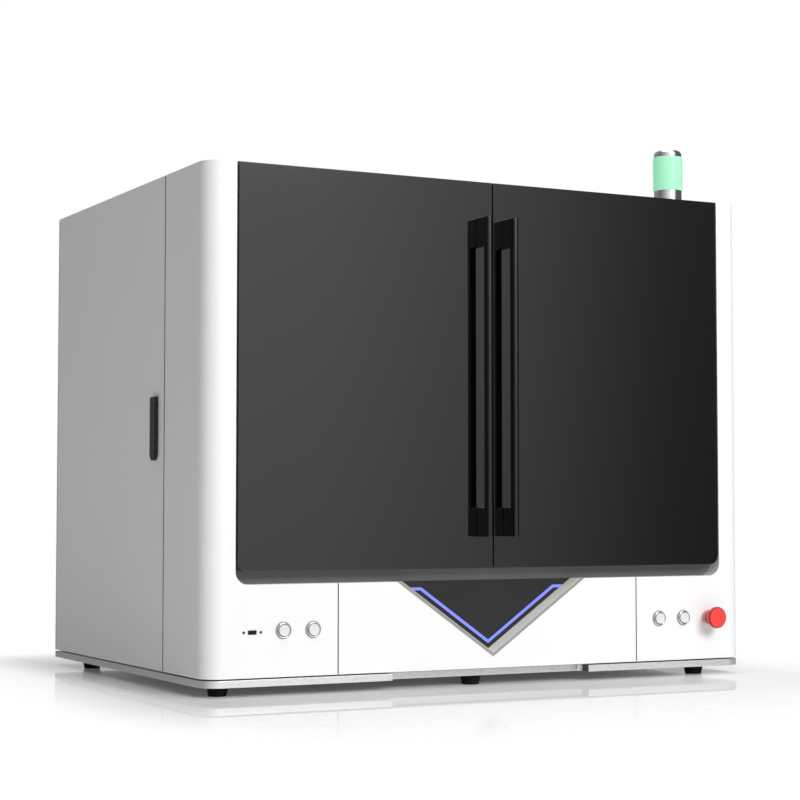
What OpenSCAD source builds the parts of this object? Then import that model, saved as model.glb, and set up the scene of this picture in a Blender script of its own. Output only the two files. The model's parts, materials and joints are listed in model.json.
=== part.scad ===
// Enclosed bench-top fiber laser cutter: a white cabinet on an aluminium base plate, with two full-height
// glossy front doors, side service doors, a scrap drawer, a slat bed and a three-axis cutting head inside.
// Units are millimetres, +Z is up and the front faces -Y.
// The origin is the middle of the footprint on the floor.

/* [Cabinet] */
// Overall width of the cabinet
cabinet_w = 1080; // [1072:1:1200]
// Depth from the front face to the rear face
cabinet_d = 782; // [770:1:900]
// Height of the cabinet above its base gap
cabinet_h = 850; // [840:1:960]
// Radius of the rounded front corners
corner_r = 34; // [20:1:42]
// Thickness of the moulded front shells
shell_t = 3; // [2:0.5:4]
// Thickness of folded sheet panels
sheet_t = 2; // [1.5:0.5:3]
// Distance from the front face to the seam between front shell and side door
seam_u = 187; // [170:1:230]
// Gap between neighbouring outer panels
panel_gap = 2.5; // [2:0.5:4]

/* [Base] */
// Thickness of the aluminium base plate
base_t = 12; // [10:1:16]
// Shadow gap between base plate and cabinet
base_gap = 2.5; // [1.5:0.5:4]
// Width of the finger notch in the front edge of the base plate
notch_w = 394; // [200:1:460]
// Depth of the finger notch
notch_depth = 25; // [15:1:30]
// Fillet radius in the corners of the finger notch
notch_r = 9; // [4:1:14]
// Height of each rubber foot
foot_h = 16; // [10:1:30]
// Diameter of a foot where it meets the base plate
foot_d = 36; // [30:1:40]
// Diameter of a foot at the floor
foot_tip_d = 30; // [20:1:30]
// Distance of the left feet from the cabinet's left side
left_foot_inset = 41; // [36:1:60]
// Distance of the right feet from the cabinet's right side
right_foot_inset = 83; // [60:1:100]
// Distance of the front feet behind the front face
foot_front_u = 44; // [44:1:60]
// Distance of the rear feet in front of the rear face
foot_rear_gap = 103; // [40:1:160]

/* [Front opening] */
// Width of the column on each side of the doors
column_w = 54; // [52:1:66]
// Height of the apron below the opening
apron_h = 152.5; // [150:0.5:170]
// Radius of the bottom corners of the opening
opening_r = 22; // [12:1:30]
// Depth of the opening's returns, from the front face to the door surround
reveal_d = 28; // [27:1:34]
// Thickness of the door surround plate
surround_t = 4; // [3:0.5:6]
// Width of the surround's frame round the chamber mouth
surround_border = 46; // [46:1:52]

/* [Front doors] */
// Gap between a door and its column
door_gap = 3; // [2.5:0.5:4]
// Gap between the two doors
split_gap = 2.5; // [2:0.5:4]
// Height of the dark band left free below the doors
band_h = 21; // [12:1:30]
// How far the glass stands in front of the columns
door_proud = 2; // [0:0.5:3]
// Thickness of the glossy door glass
glass_t = 4; // [3:0.5:5]
// Thickness of the door frame behind the glass
door_frame_t = 19; // [15:1:19]
// Width of the door frame's stiles and rails
door_stile = 42; // [38:1:60]
// Radius of each door's lower outer corner
door_r = 18; // [8:1:26]

/* [Door handles] */
// Height of a handle's lower end above the bottom of the door
handle_z = 54.5; // [30:0.5:90]
// Distance of a handle's upper end below the top of the door
handle_drop = 64.5; // [30:0.5:120]
// Distance of each handle's middle from the inner edge of its door
handle_x = 25; // [10:0.5:60]
// Width of a handle's grip bar and end posts
handle_w = 12; // [10:0.5:15]
// How far a handle stands out from the cabinet's front face
handle_reach = 40; // [38:0.5:60]
// Depth of the grip bar, from its nose to the finger slot
grip_d = 14.5; // [12:0.5:18]
// Height of each end post
handle_post_h = 50.5; // [30:0.5:70]

/* [Hinges] */
// Number of hinges on each door
hinge_count = 3; // [2:1:4]
// Diameter of a hinge pin
hinge_pin_d = 4; // [3.5:0.5:4]
// Radial running clearance of a hinge pin in its door
hinge_clear = 0.05; // [0.02:0.01:0.1]
// Width of a hinge arm
hinge_arm_w = 7; // [6.5:0.5:7]
// Thickness of a hinge arm
hinge_arm_t = 8; // [6:1:12]
// Clearance above and below a hinge arm
hinge_slot_clear = 0.5; // [0.3:0.1:1]
// Length of hinge pin held in the door on each side of the arm
hinge_pin_grip = 12; // [8:1:20]
// Height of the first and last hinge from the door's ends
hinge_inset = 60; // [40:1:120]
// Distance from a front door's hinge axis to its outer edge
front_hinge_edge = 14; // [13:0.5:15]
// Distance from a front door's hinge axis to the face of its glass
front_hinge_face = 9; // [8.5:0.5:9]
// Distance from a side door's hinge axis to its rear edge
side_hinge_edge = 8; // [8:0.5:9]
// Distance from a side door's hinge axis to its outer face
side_hinge_face = 7; // [6:0.5:7]

/* [Side doors] */
// Depth of a side door's folded edges
side_door_t = 16; // [14:1:17]
// Gap between a side door and the rear panel
side_rear_gap = 3; // [3:0.5:4]
// Width of the hinge stile inside a side door
side_stile = 24; // [20:1:40]
// Distance of the latch behind the seam
latch_u = 41; // [30:1:80]
// Height of the latch's turning axis above the floor
latch_z = 486; // [300:1:600]
// Width of the latch lever
latch_w = 24; // [18:1:30]
// Length of the latch lever below its axis
latch_len = 96; // [70:1:140]
// How far the latch lever stands out
latch_reach = 7.5; // [6:0.5:14]
// Thickness of the rosette between lever and door
latch_rosette_t = 1.5; // [1:0.5:2]
// Diameter of the latch spindle
latch_spindle_d = 10; // [8:1:14]
// Running clearance round the latch spindle
latch_clear = 0.05; // [0.02:0.01:0.1]
// Length of the tongue inside the door
tongue_len = 56; // [48:1:70]

/* [Scrap drawer] */
// Width of the fixed apron panel on each side of the scrap drawer's front
apron_side_w = 239.5; // [236:0.5:260]
// Gap between the drawer front and the panels beside it
drawer_gap = 1.2; // [1:0.1:2.5]
// Depth of the folded edges of the drawer front
drawer_edge_d = 24; // [22:1:26]
// Distance of the tray's sides inside the drawer's front panel
tray_side_gap = 32.5; // [32:0.5:60]
// Distance from the tray's rear end to the chamber's rear wall
tray_end_gap = 56; // [50:1:160]
// Height of the drawer tray
tray_h = 96; // [60:1:100]
// Height of the tray's floor above the cabinet's floor plate
tray_lift = 38; // [36:1:40]
// Height of the slide rail on each side of the tray
slide_rail_h = 14; // [10:1:20]
// Width of the slide rail on each side of the tray
slide_rail_w = 9; // [6:0.5:12]
// Clearance between slide rail and runner
slide_clear = 0.3; // [0.2:0.1:0.5]

/* [Emblem panel] */
// Half width of the V-shaped recess at its top
emblem_half_w = 189; // [120:1:230]
// Depth of the V from the top of the apron to its point
emblem_h = 133; // [80:1:140]
// Width of the bright rim round the recess
emblem_rim = 5; // [3:0.5:8]
// Sideways run of the sloping inner wall
emblem_slope = 6.3; // [2:0.1:10]
// Depth of the recess
emblem_depth = 18; // [10:1:20]
// Thickness of the dark panel in the recess
emblem_panel_t = 3; // [2:0.5:3]
// Width of the light line
light_w = 5; // [3:0.5:8]
// Distance from the dark panel's edge to the middle of the light line
light_inset = 9.4; // [6:0.1:16]
// Distance from the top of the apron to the light line's level ends
light_drop = 13.7; // [10:0.1:24]
// How far the light line stands proud of the dark panel
light_proud = 0.5; // [0.2:0.1:1]

/* [Front controls] */
// Height of the row of buttons above the floor
control_z = 107; // [90:1:140]
// Distance between neighbouring buttons
button_pitch = 54; // [40:1:60]
// Distance of the left button pair's middle from the cabinet's left side
left_buttons_inset = 167; // [150:1:190]
// Distance of the right button pair's middle from the cabinet's right side
right_buttons_inset = 163; // [155:1:190]
// Diameter of a button's bezel
bezel_d = 28; // [26:1:32]
// How far a bezel stands out
bezel_h = 4.5; // [3:0.5:8]
// Diameter of a button's moving cap
button_d = 19; // [15:0.5:19]
// Diameter of the barrel behind the panel
barrel_d = 22; // [22:0.5:24]
// Length of the barrel behind the panel
barrel_len = 18; // [12:1:22]
// Clearance between a cap and its bezel
button_clear = 0.25; // [0.1:0.05:0.5]
// Travel of a button
button_travel = 2.5; // [1:0.5:3]
// Distance of the emergency stop from the cabinet's right side
estop_inset = 81; // [75:1:100]
// Diameter of the emergency stop's head
estop_d = 39; // [34:1:44]
// How far the emergency stop's head stands out
estop_reach = 33; // [30:1:45]
// Travel of the emergency stop
estop_travel = 6; // [4:0.5:6]
// Diameter of the emergency stop's collar
estop_collar_d = 26; // [25:1:34]
// Height of the emergency stop's collar
estop_collar_h = 8; // [8:0.5:10]
// Diameter of the emergency stop's stem
estop_stem_d = 12; // [10:1:13]
// Distance of the data socket from the cabinet's left side
usb_inset = 84; // [70:1:100]
// Width of the data socket
usb_w = 15; // [13:0.5:20]
// Height of the data socket
usb_h = 7; // [6:0.5:10]
// Distance from the data socket to each of its screws
usb_screw_x = 15.2; // [12:0.1:20]

/* [Signal lamp] */
// Distance of the lamp's axis from the cabinet's right side
lamp_inset = 87; // [86:1:110]
// Distance of the lamp behind the front face
lamp_u = 108; // [100:1:150]
// Diameter of the lamp's metal base and cap
lamp_d = 53; // [40:1:56]
// Diameter of the green lens
lens_d = 56.5; // [50:0.5:60]
// Height of the metal base
lamp_base_h = 34.5; // [30:0.5:80]
// Height of the green lens
lens_h = 64.5; // [40:0.5:90]
// Height of the metal cap
lamp_cap_h = 13; // [9.5:0.5:20]
// Radius of the cap's upper edge
lamp_cap_r = 8; // [4:0.5:9]
// Wall thickness of the lens
lens_wall = 2.5; // [2:0.5:4]

/* [Chamber and frame] */
// Width of the square frame tubes
tube_w = 30; // [25:1:30]
// Distance of the frame's outer faces inside the side faces
frame_inset = 20; // [20:1:24]
// Depth of the equipment bay behind the chamber's rear wall
bay_depth = 222; // [200:1:227]
// Thickness of the cabinet's floor plate
floor_t = 5; // [4:1:8]
// Width of the rim left free round the floor plate
floor_rim = 20; // [20:1:30]
// Height of the cross rails' top above the floor
bed_rail_z = 208; // [206:1:212]

/* [Slat bed] */
// Gap between the bed frame and each side beam
bed_side_gap = 5; // [5:1:60]
// Height of the bed frame
bed_frame_h = 40; // [30:1:60]
// Width of the bed frame's bars
bed_bar_w = 30; // [20:1:40]
// Front end of the bed behind the front face
bed_u0 = 46; // [40:1:54]
// Number of slats
slat_count = 15; // [5:1:21]
// Thickness of a slat
slat_t = 2; // [1.5:0.5:3]
// Height of a slat
slat_h = 30; // [24:1:40]
// Depth of the slot that holds a slat
slat_slot = 15; // [8:1:20]
// Pitch of the teeth along a slat
tooth_pitch = 24; // [16:1:40]
// Height of the teeth
tooth_h = 10; // [5:1:14]

/* [Motion system] */
// Width of each side beam
beam_w = 80; // [60:1:84]
// Height of each side beam
beam_h = 100; // [80:1:110]
// Distance of a side beam's outer face inside the frame's outer face
beam_inset = 90; // [60:1:90]
// Width of a guide rail
rail_w = 20; // [15:1:25]
// Height of a guide rail
rail_h = 15; // [12:1:20]
// Width of a rail block
block_w = 46; // [40:1:60]
// Length of a rail block
block_len = 70; // [50:1:76]
// Gap between a rail and its block
rail_clear = 0.5; // [0.3:0.1:1]
// Depth of the gantry beam
gantry_d = 80; // [70:1:84]
// Height of the gantry beam
gantry_h = 90; // [84:1:110]
// Height of the rail block above the top of the rail
block_rise = 17; // [10:1:24]
// Gap between the parked gantry and the rear wall
park_gap = 7; // [5:1:20]
// Distance of the gantry's guide rails from the ends of its beam
x_rail_end = 15; // [0:1:30]
// Distance of the gantry's guide rails from the beam's upper and lower faces
x_rail_inset = 20; // [18:1:24]
// Distance of the parked carriage's middle from the left end of its rails
carriage_park = 115; // [85:1:165]
// Width of the carriage plate
carriage_w = 110; // [90:1:140]
// Thickness of the carriage plate
carriage_t = 12; // [8:1:16]
// Height of the carriage plate
carriage_h = 150; // [130:1:200]
// Diameter of the cutting head's body
head_d = 54; // [44:1:60]
// Height of the nozzle's tip above the slats
nozzle_gap = 68; // [66:1:90]
// Length of the cutting head above its nozzle
head_len = 290; // [240:1:340]
// Length of the nozzle
nozzle_len = 26; // [18:1:40]
// Travel of the cutting head
head_travel = 60; // [40:1:60]

/* [Equipment bay] */
// Width of the laser source
source_w = 400; // [300:1:420]
// Depth of the laser source
source_d = 150; // [120:1:180]
// Height of the laser source
source_h = 300; // [200:1:340]
// Distance of the laser source from the cabinet's left side
source_inset = 70; // [60:1:80]
// Number of cooling fins on the laser source
fin_count = 14; // [6:1:24]
// Depth of a cooling fin
fin_d = 22; // [10:1:30]
// Thickness of a cooling fin
fin_t = 3; // [2:0.5:5]
// Width of the power supply
supply_w = 210; // [150:1:240]
// Depth of the power supply
supply_d = 150; // [100:1:180]
// Height of the power supply
supply_h = 180; // [120:1:240]
// Gap between the laser source and the power supply
supply_gap = 40; // [20:1:80]
// Width of the motion controller
controller_w = 300; // [200:1:360]
// Depth of the motion controller
controller_d = 60; // [40:1:80]
// Height of the motion controller
controller_h = 240; // [160:1:280]
// Middle of the motion controller
controller_x = -180; // [-250:1:-150]
// Bottom of the motion controller above the floor
controller_z = 470; // [440:1:520]
// Width of the fan housing
fan_w = 160; // [120:1:180]
// Depth of the fan housing
fan_d = 42; // [30:1:50]
// Distance of the fan's axis from the cabinet's right side
fan_inset = 240; // [200:1:290]
// Height of the fan's axis
fan_z = 400; // [350:1:450]
// Number of fan blades
fan_blades = 7; // [3:1:9]
// Outer diameter of the exhaust duct
duct_d = 100; // [80:1:125]
// Wall thickness of the exhaust duct
duct_wall = 2; // [1.5:0.5:3]
// Length of the exhaust duct behind the cabinet
duct_reach = 60; // [50:1:100]
// Sideways position of the exhaust duct
duct_x = 120; // [60:1:160]
// Distance of the exhaust duct's axis below the top of the cabinet
duct_drop = 140.5; // [100:0.5:180]
// Distance of the mains inlet from the cabinet's right side
inlet_inset = 110; // [90:1:140]
// Height of the mains inlet
inlet_z = 130; // [110:1:180]
// Distance of the gas fitting from the cabinet's right side
gas_inset = 190; // [170:1:220]
// Diameter of the gas fitting's barrel
gas_d = 16; // [12:1:20]

/* [Hidden] */
$fn = 64;
eps = 0.01;
cut = 1;

base_top = foot_h + base_t;
cabinet_z = base_top + base_gap;
cabinet_top = cabinet_z + cabinet_h;
half_w = cabinet_w / 2;
front_y = (handle_reach - cabinet_d - duct_reach) / 2;

opening_half = half_w - column_w;
bulkhead_u = cabinet_d - bay_depth;
sill_z = cabinet_z + apron_h;
door_z = sill_z + band_h;
door_h = cabinet_top - door_z;
handle_h = door_h - handle_z - handle_drop;
door_rear_u = glass_t + door_frame_t - door_proud;
frame_joint = 0.3;
door_out_x = opening_half - door_gap;
surround_u = reveal_d;
surround_rear = surround_u + surround_t;
mouth_rise = 20;
mouth_half = opening_half - surround_border;
mouth_z0 = door_z + mouth_rise;
mouth_z1 = cabinet_top - sheet_t - tube_w - sheet_t;

rear_panel_t = 3;
rear_panel_u = cabinet_d - rear_panel_t;
side_door_rear = rear_panel_u - side_rear_gap;
side_door_front = seam_u + panel_gap;
frame_half = half_w - frame_inset;
chamber_half_w = frame_half - tube_w - sheet_t;
frame_top = cabinet_top - sheet_t;
floor_top = base_top + floor_t;

drawer_half_w = half_w - apron_side_w;
tray_half_w = drawer_half_w - tray_side_gap;
tray_z = floor_top + tray_lift;
drawer_z1 = sill_z;
tray_u = drawer_edge_d;
tray_len = bulkhead_u - tray_u - tray_end_gap;
slide_rail_z = tray_z + tray_h / 3;
runner_wall = 2;
runner_gap = slide_rail_h + 2 * slide_clear;

emblem_angle = atan(emblem_h / emblem_half_w);
emblem_wall_end = emblem_rim + emblem_slope;
emblem_rise = 20;

beam_x = frame_half - beam_inset - beam_w;
bed_half_w = beam_x - bed_side_gap;
bed_z = bed_rail_z;
bed_top = bed_z + bed_frame_h;
bed_u1 = bulkhead_u - tube_w / 2;
slat_z = bed_top - slat_slot;
slat_top = slat_z + slat_h;
slat_len = bed_u1 - bed_u0;
slat_pitch = 2 * (bed_half_w - bed_bar_w) / (slat_count + 1);

beam_front_gap = 8;
beam_rear_gap = 4;
carriage_drop = 10;
beam_top = bed_rail_z + beam_h;
beam_u0 = surround_rear + beam_front_gap;
beam_u1 = bulkhead_u - beam_rear_gap;
rail_x = beam_x + beam_w / 2;
block_top = beam_top + rail_h + block_rise;
gantry_rear = bulkhead_u - park_gap;
gantry_u = gantry_rear - gantry_d;
x_rail_z = [block_top + x_rail_inset, block_top + gantry_h - x_rail_inset];
x_rail_half = beam_x + beam_w - x_rail_end;
carriage_x = -x_rail_half + carriage_park;
carriage_u = gantry_u - rail_h - block_rise;
carriage_z = block_top - carriage_drop;
z_plate_t = 10;
head_u = carriage_u - carriage_t - z_plate_t - head_d / 2;
nozzle_z = slat_top + nozzle_gap;
head_z = nozzle_z + nozzle_len;

column_lip = 3;
surround_lap = 8;
mouth_r = 26;
seal_clear = 0.3;
seal_inset = 4;
seal_w = 10;
usb_drop = 2;
usb_z = control_z - usb_drop;
usb_screw_d = 3;
usb_proud = 0.8;
usb_depth = 16;
usb_wall = 1;
usb_ear_t = 2;
lamp_neck_d = 24;
lamp_neck_h = 6;
lamp_core_d = 24;
button_proud = 0.5;
button_len = 8;
button_dish = 0.8;
button_dish_r = 60;
estop_neck_d = 20;
estop_neck_sink = 0.5;
estop_neck_z = estop_collar_h - estop_neck_sink;
estop_neck_h = 8;
estop_rim_h = 9;
estop_edge = 1.5;
estop_stem_proud = 6;
estop_stem_tip = estop_collar_h + estop_stem_proud;
estop_stem_gap = 4;
stem_clear = 0.3;
nut_w = 3;
nut_t = 4;
tongue_gap = 1;
tongue_t = 2.5;
tongue_w = 18;
latch_head = 14;
latch_rosette_rim = 2;
latch_rosette_d = latch_w - 2 * latch_rosette_rim;
latch_key_d = 13;
latch_key_h = 0.8;
latch_boss_t = 3;
latch_boss_d = 30;
trim_proud = 0.5;
light_groove = 1.5;
slide_rail_gap = 40;
runner_foot_w = 20;
runner_front_gap = 2;

fin_margin = 12;
bay_gap = 15;
bay_u = bulkhead_u + sheet_t + bay_gap;
supply_margin = 15;
supply_slot_d = 3;
terminal_count = 9;
terminal_w = 18;
terminal_h = 12;
fan_wall = 5;
fan_lap = 2;
fan_bore_d = fan_w - 2 * fan_wall;
fan_hole_d = fan_bore_d - 2 * fan_lap;
grille_rings = 5;
grille_bar = 4;
fan_hub_d = 60;
fan_hub_h = 26;
fan_shaft_d = 8;
fan_spoke_t = 4;
fan_spoke_w = 8;
fan_gap = 1;
fan_pitch = 35;
fan_chord = 30;
fan_blade_t = 2.5;
fan_tip_gap = 3;
duct_flange_t = 3;
duct_flange_w = 12;
inlet_w = 30;
inlet_h = 70;
inlet_depth = 34;
inlet_flange_t = 2;
inlet_flange_w = 4;
socket_w = 24;
socket_h = 18;
socket_z = -18;
socket_depth = 28;
contact_x = 7;
contact_w = 4;
rocker_w = 16;
rocker_h = 26;
rocker_z = 15;
rocker_depth = 20;
rocker_clear = 0.5;
rocker_axis = -4;
rocker_face = 9;
rocker_edge = 1;
rocker_half = rocker_h / 2 - rocker_edge;
pivot_d = 4;
pivot_h = 4;
gas_hex_h = 8;
gas_hex_wall = 5;
gas_hex_d = gas_d + 2 * gas_hex_wall;
gas_reach = 24;
gas_tail = 20;
gas_stop = 2;
gas_ring_step = 1;
gas_ring_d = gas_d - 2 * gas_ring_step;
gas_hose_d = 8;
louvre_rows = 8;
louvre_pitch = 14;
louvre_h = 5;
louvre_w = 150;
louvre_z = 110;
louvre_inset = 110;
louvre_step = 180;
louvre_xs = [for (i = [0 : 2]) -half_w + louvre_inset + i * louvre_step];
supply_slots = floor((supply_h - 2 * supply_margin) / louvre_pitch);

beam_windows = 4;
beam_wall = 16;
rail_groove = 2.5;
gantry_wall = 6;
gantry_rib = 14;
gantry_windows = 6;
carriage_block = 44;
head_plate_w = 80;
head_cone_h = 46;
head_barrel_h = 40;
head_body_w = 70;
head_body_h = 90;
collimator_d = 40;
connector_h = 22;
connector_d = 16;
nozzle_d = 22;
nozzle_tip_d = 5;
nozzle_hole_d = 2.4;

left_foot_x = -half_w + left_foot_inset;
right_foot_x = half_w - right_foot_inset;
foot_xs = [left_foot_x, (left_foot_x + right_foot_x) / 2, right_foot_x];
button_xs = [
    -half_w + left_buttons_inset - button_pitch / 2,
    -half_w + left_buttons_inset + button_pitch / 2,
    half_w - right_buttons_inset - button_pitch / 2,
    half_w - right_buttons_inset + button_pitch / 2
];
usb_x = -half_w + usb_inset;
estop_x = half_w - estop_inset;
lamp_x = half_w - lamp_inset;
source_x = -half_w + source_inset;
supply_x = source_x + source_w + supply_gap;
fan_x = half_w - fan_inset;
inlet_x = half_w - inlet_inset;
gas_x = half_w - gas_inset;
duct_z = cabinet_top - duct_drop;

WHITE = [0.93, 0.93, 0.94];
BLACK = [0.06, 0.06, 0.07];
DARK = [0.30, 0.30, 0.31];
STEEL = [0.70, 0.71, 0.72];
ALU = [0.80, 0.81, 0.82];
RED = [0.90, 0.15, 0.13];

// ---------------------------------------------------------------- helpers

// Places what is drawn with depths counted from the cabinet's front face.
module seat() {
    translate([0, front_y, 0]) children();
}

// A box between two opposite corners.
module block(lo, hi) {
    translate(lo) cube(hi - lo);
}

// Extrudes a front elevation between two depths.
module elevation(u0, u1) {
    translate([0, u1, 0]) rotate([90, 0, 0]) linear_extrude(height = u1 - u0) children();
}

// Extrudes a side elevation between two sideways positions.
module side_elevation(x0, x1) {
    translate([x0, 0, 0]) rotate([90, 0, 90]) linear_extrude(height = x1 - x0) children();
}

// A cylinder along the depth, between two depths.
module along_depth(x, z, u0, u1, d) {
    translate([x, u1, z]) rotate([90, 0, 0]) cylinder(h = u1 - u0, d = d);
}

module both_sides() {
    children();
    mirror([1, 0, 0]) children();
}

// Rectangle whose two lower corners are rounded.
module round_bottom(x0, x1, z0, z1, r) {
    translate([x0 + r, z0]) square([x1 - x0 - 2 * r, z1 - z0]);
    translate([x0, z0 + r]) square([x1 - x0, z1 - z0 - r]);
    translate([x0 + r, z0 + r]) circle(r = r);
    translate([x1 - r, z0 + r]) circle(r = r);
}

// Rectangle whose lower right corner alone is rounded.
module round_bottom_right(x0, x1, z0, z1, r) {
    translate([x0, z0]) square([x1 - x0 - r, z1 - z0]);
    translate([x0, z0 + r]) square([x1 - x0, z1 - z0 - r]);
    translate([x1 - r, z0 + r]) circle(r = r);
}

// Plan of the cabinet's footprint, with its two rounded front corners.
module footprint(inset = 0) {
    half = half_w - inset;
    r = corner_r - inset;
    translate([-half + r, inset]) square([2 * (half - r), cabinet_d - 2 * inset]);
    translate([-half, inset + r]) square([2 * half, cabinet_d - 2 * inset - r]);
    translate([-half + r, inset + r]) circle(r = r);
    translate([half - r, inset + r]) circle(r = r);
}

// Heights of the hinges on a door that reaches from z0 to z1.
function hinge_heights(z0, z1) = [
    for (i = [0 : hinge_count - 1])
        z0 + hinge_inset + i * (z1 - z0 - 2 * hinge_inset) / (hinge_count - 1)
];

// Hinge parts stand at the hinge axis: the door reaches towards -X, its face looks towards -Y and
// its edge lies towards +X. The arm comes from behind.
module hinge_arm(reach) {
    translate([0, 0, -hinge_arm_t / 2]) linear_extrude(height = hinge_arm_t) difference() {
        union() {
            circle(d = hinge_arm_w);
            translate([-hinge_arm_w / 2, 0]) square([hinge_arm_w, reach]);
        }
        circle(d = hinge_pin_d);
    }
}

module hinge_pin() {
    length = hinge_arm_t + 2 * hinge_slot_clear + 2 * hinge_pin_grip;
    translate([0, 0, -length / 2]) cylinder(h = length, d = hinge_pin_d);
}

// Space cut from a door: the slot that the arm sweeps through, and the bore for the pin.
module hinge_cut(edge, face_depth, rear_depth) {
    slot_h = hinge_arm_t + 2 * hinge_slot_clear;
    side = hinge_arm_w / 2 + hinge_slot_clear;
    block([-side, -face_depth, -slot_h / 2], [edge + cut, rear_depth, slot_h / 2]);
    bore_h = slot_h + 2 * hinge_pin_grip + 2 * hinge_slot_clear;
    translate([0, 0, -bore_h / 2]) cylinder(h = bore_h, d = hinge_pin_d + 2 * hinge_clear);
}

// Puts hinge parts on the right front door's axis.
module at_front_hinges() {
    for (z = hinge_heights(door_z, cabinet_top))
        translate([door_out_x - front_hinge_edge, front_hinge_face - door_proud, z]) children();
}

// Puts hinge parts on the right side door's axis.
module at_side_hinges() {
    for (z = hinge_heights(cabinet_z, cabinet_top))
        translate([half_w - side_hinge_face, side_door_rear - side_hinge_edge, z])
            rotate([0, 0, 90]) children();
}

// ---------------------------------------------------------------- base and frame

module feet() color(BLACK) seat()
    for (x = foot_xs, u = [foot_front_u, cabinet_d - foot_rear_gap])
        translate([x, u, 0]) cylinder(h = foot_h, d1 = foot_tip_d, d2 = foot_d);

// The base plate follows the cabinet's footprint and has a filleted finger notch in its front edge.
module base_plate() color(ALU) seat() translate([0, 0, foot_h]) linear_extrude(height = base_t)
    difference() {
        footprint();
        translate([-notch_w / 2, -cut]) square([notch_w, notch_depth - notch_r + cut]);
        translate([-notch_w / 2 + notch_r, -cut]) square([notch_w - 2 * notch_r, notch_depth + cut]);
        for (side = [-1, 1])
            translate([side * (notch_w / 2 - notch_r), notch_depth - notch_r]) circle(r = notch_r);
    }

// Floor plate: set back from the panels, so that the shadow gap shows all round.
module chassis_floor() color(DARK) seat()
    block([-half_w + floor_rim, notch_depth + floor_rim, base_top],
          [half_w - floor_rim, rear_panel_u - floor_rim / 2, floor_top]);

// Welded tube frame: six posts, top and bottom rails, and two cross rails that carry the bed.
module chassis_frame() color(DARK) seat() {
    post_x = frame_half - tube_w;
    post_us = [surround_rear, side_door_front, rear_panel_u - tube_w];
    for (side = [0, 1], u = post_us)
        mirror([side, 0, 0]) block([post_x, u, floor_top], [frame_half, u + tube_w, frame_top]);
    for (side = [0, 1], z = [floor_top, frame_top - tube_w])
        mirror([side, 0, 0])
            block([post_x, surround_rear, z], [frame_half, rear_panel_u, z + tube_w]);
    for (z = [floor_top, frame_top - tube_w])
        block([-post_x - eps, rear_panel_u - tube_w, z], [post_x + eps, rear_panel_u, z + tube_w]);
    block([-post_x - eps, surround_rear, floor_top],
          [post_x + eps, surround_rear + tube_w, floor_top + tube_w]);
    block([-post_x - eps, surround_rear, frame_top - tube_w],
          [post_x + eps, surround_rear + tube_w, frame_top]);
    for (u = [surround_rear, bulkhead_u - tube_w])
        block([-post_x - eps, u, bed_rail_z - tube_w], [post_x + eps, u + tube_w, bed_rail_z]);
    for (side = [0, 1])
        mirror([side, 0, 0]) block([post_x, surround_rear, bed_rail_z - tube_w],
                                   [frame_half, bulkhead_u, bed_rail_z]);
}

// ---------------------------------------------------------------- outer panels

// Plan of the right-hand column: a wall that runs from the opening round the corner to the side seam.
module column_plan() {
    difference() {
        intersection() {
            footprint();
            translate([opening_half, 0]) square([half_w - opening_half, seam_u]);
        }
        intersection() {
            footprint(shell_t);
            translate([opening_half + shell_t, 0]) square([half_w - opening_half, seam_u - shell_t]);
        }
        translate([opening_half - cut, reveal_d])
            square([column_w - side_door_t + column_lip, seam_u]);
    }
}

// Front view of the right-hand apron panel, up to the rounded corner of the opening.
module apron_face() {
    difference() {
        translate([drawer_half_w, cabinet_z])
            square([half_w - corner_r - drawer_half_w, apron_h + opening_r]);
        round_bottom(-opening_half, opening_half, sill_z, cabinet_top, opening_r);
    }
}

// The opening's return, which follows its lower corner round.
module opening_return(x0, x1) {
    intersection() {
        difference() {
            round_bottom(-opening_half - shell_t, opening_half + shell_t, sill_z - shell_t, cabinet_top,
                         opening_r + shell_t);
            round_bottom(-opening_half, opening_half, sill_z, cabinet_top + cut, opening_r);
        }
        translate([x0, sill_z - shell_t]) square([x1 - x0, cabinet_top]);
    }
}

// Right-hand front shell: column, wrapped corner, apron panel and folded edges in one moulding.
module front_shell() {
    difference() {
        union() {
            translate([0, 0, cabinet_z]) linear_extrude(height = cabinet_h) column_plan();
            elevation(0, shell_t) apron_face();
            elevation(0, reveal_d) opening_return(drawer_half_w, opening_half + shell_t);
            block([drawer_half_w, 0, cabinet_z], [drawer_half_w + shell_t, drawer_edge_d, sill_z]);
            block([drawer_half_w, 0, cabinet_z], [half_w - corner_r, drawer_edge_d, cabinet_z + shell_t]);
            translate([0, 0, frame_top]) linear_extrude(height = sheet_t) intersection() {
                footprint();
                translate([opening_half, 0]) square([half_w - opening_half, seam_u]);
            }
        }
        children();
    }
}

module control_bores(xs) {
    for (x = xs) along_depth(x, control_z, -cut, shell_t + cut, barrel_d);
}

module front_shell_right() color(WHITE) seat() front_shell()
    control_bores([button_xs[2], button_xs[3], estop_x]);

module front_shell_left() color(WHITE) seat() mirror([1, 0, 0]) front_shell() {
    control_bores([-button_xs[0], -button_xs[1]]);
    block([-usb_x - usb_w / 2, -cut, usb_z - usb_h / 2],
          [-usb_x + usb_w / 2, shell_t + cut, usb_z + usb_h / 2]);
    for (side = [-1, 1]) along_depth(-usb_x + side * usb_screw_x, usb_z, -cut, shell_t + cut, usb_screw_d);
}

// Flat cover between the doors: narrower between the two columns.
module top_cover() color(WHITE) seat() difference() {
    translate([0, 0, frame_top]) linear_extrude(height = sheet_t) {
        translate([-opening_half + panel_gap, reveal_d])
            square([2 * (opening_half - panel_gap), rear_panel_u - reveal_d]);
        translate([-frame_half, side_door_front])
            square([2 * frame_half, rear_panel_u - side_door_front]);
    }
    translate([lamp_x, lamp_u, frame_top - cut]) cylinder(h = sheet_t + 2 * cut, d = lamp_neck_d);
}

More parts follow.
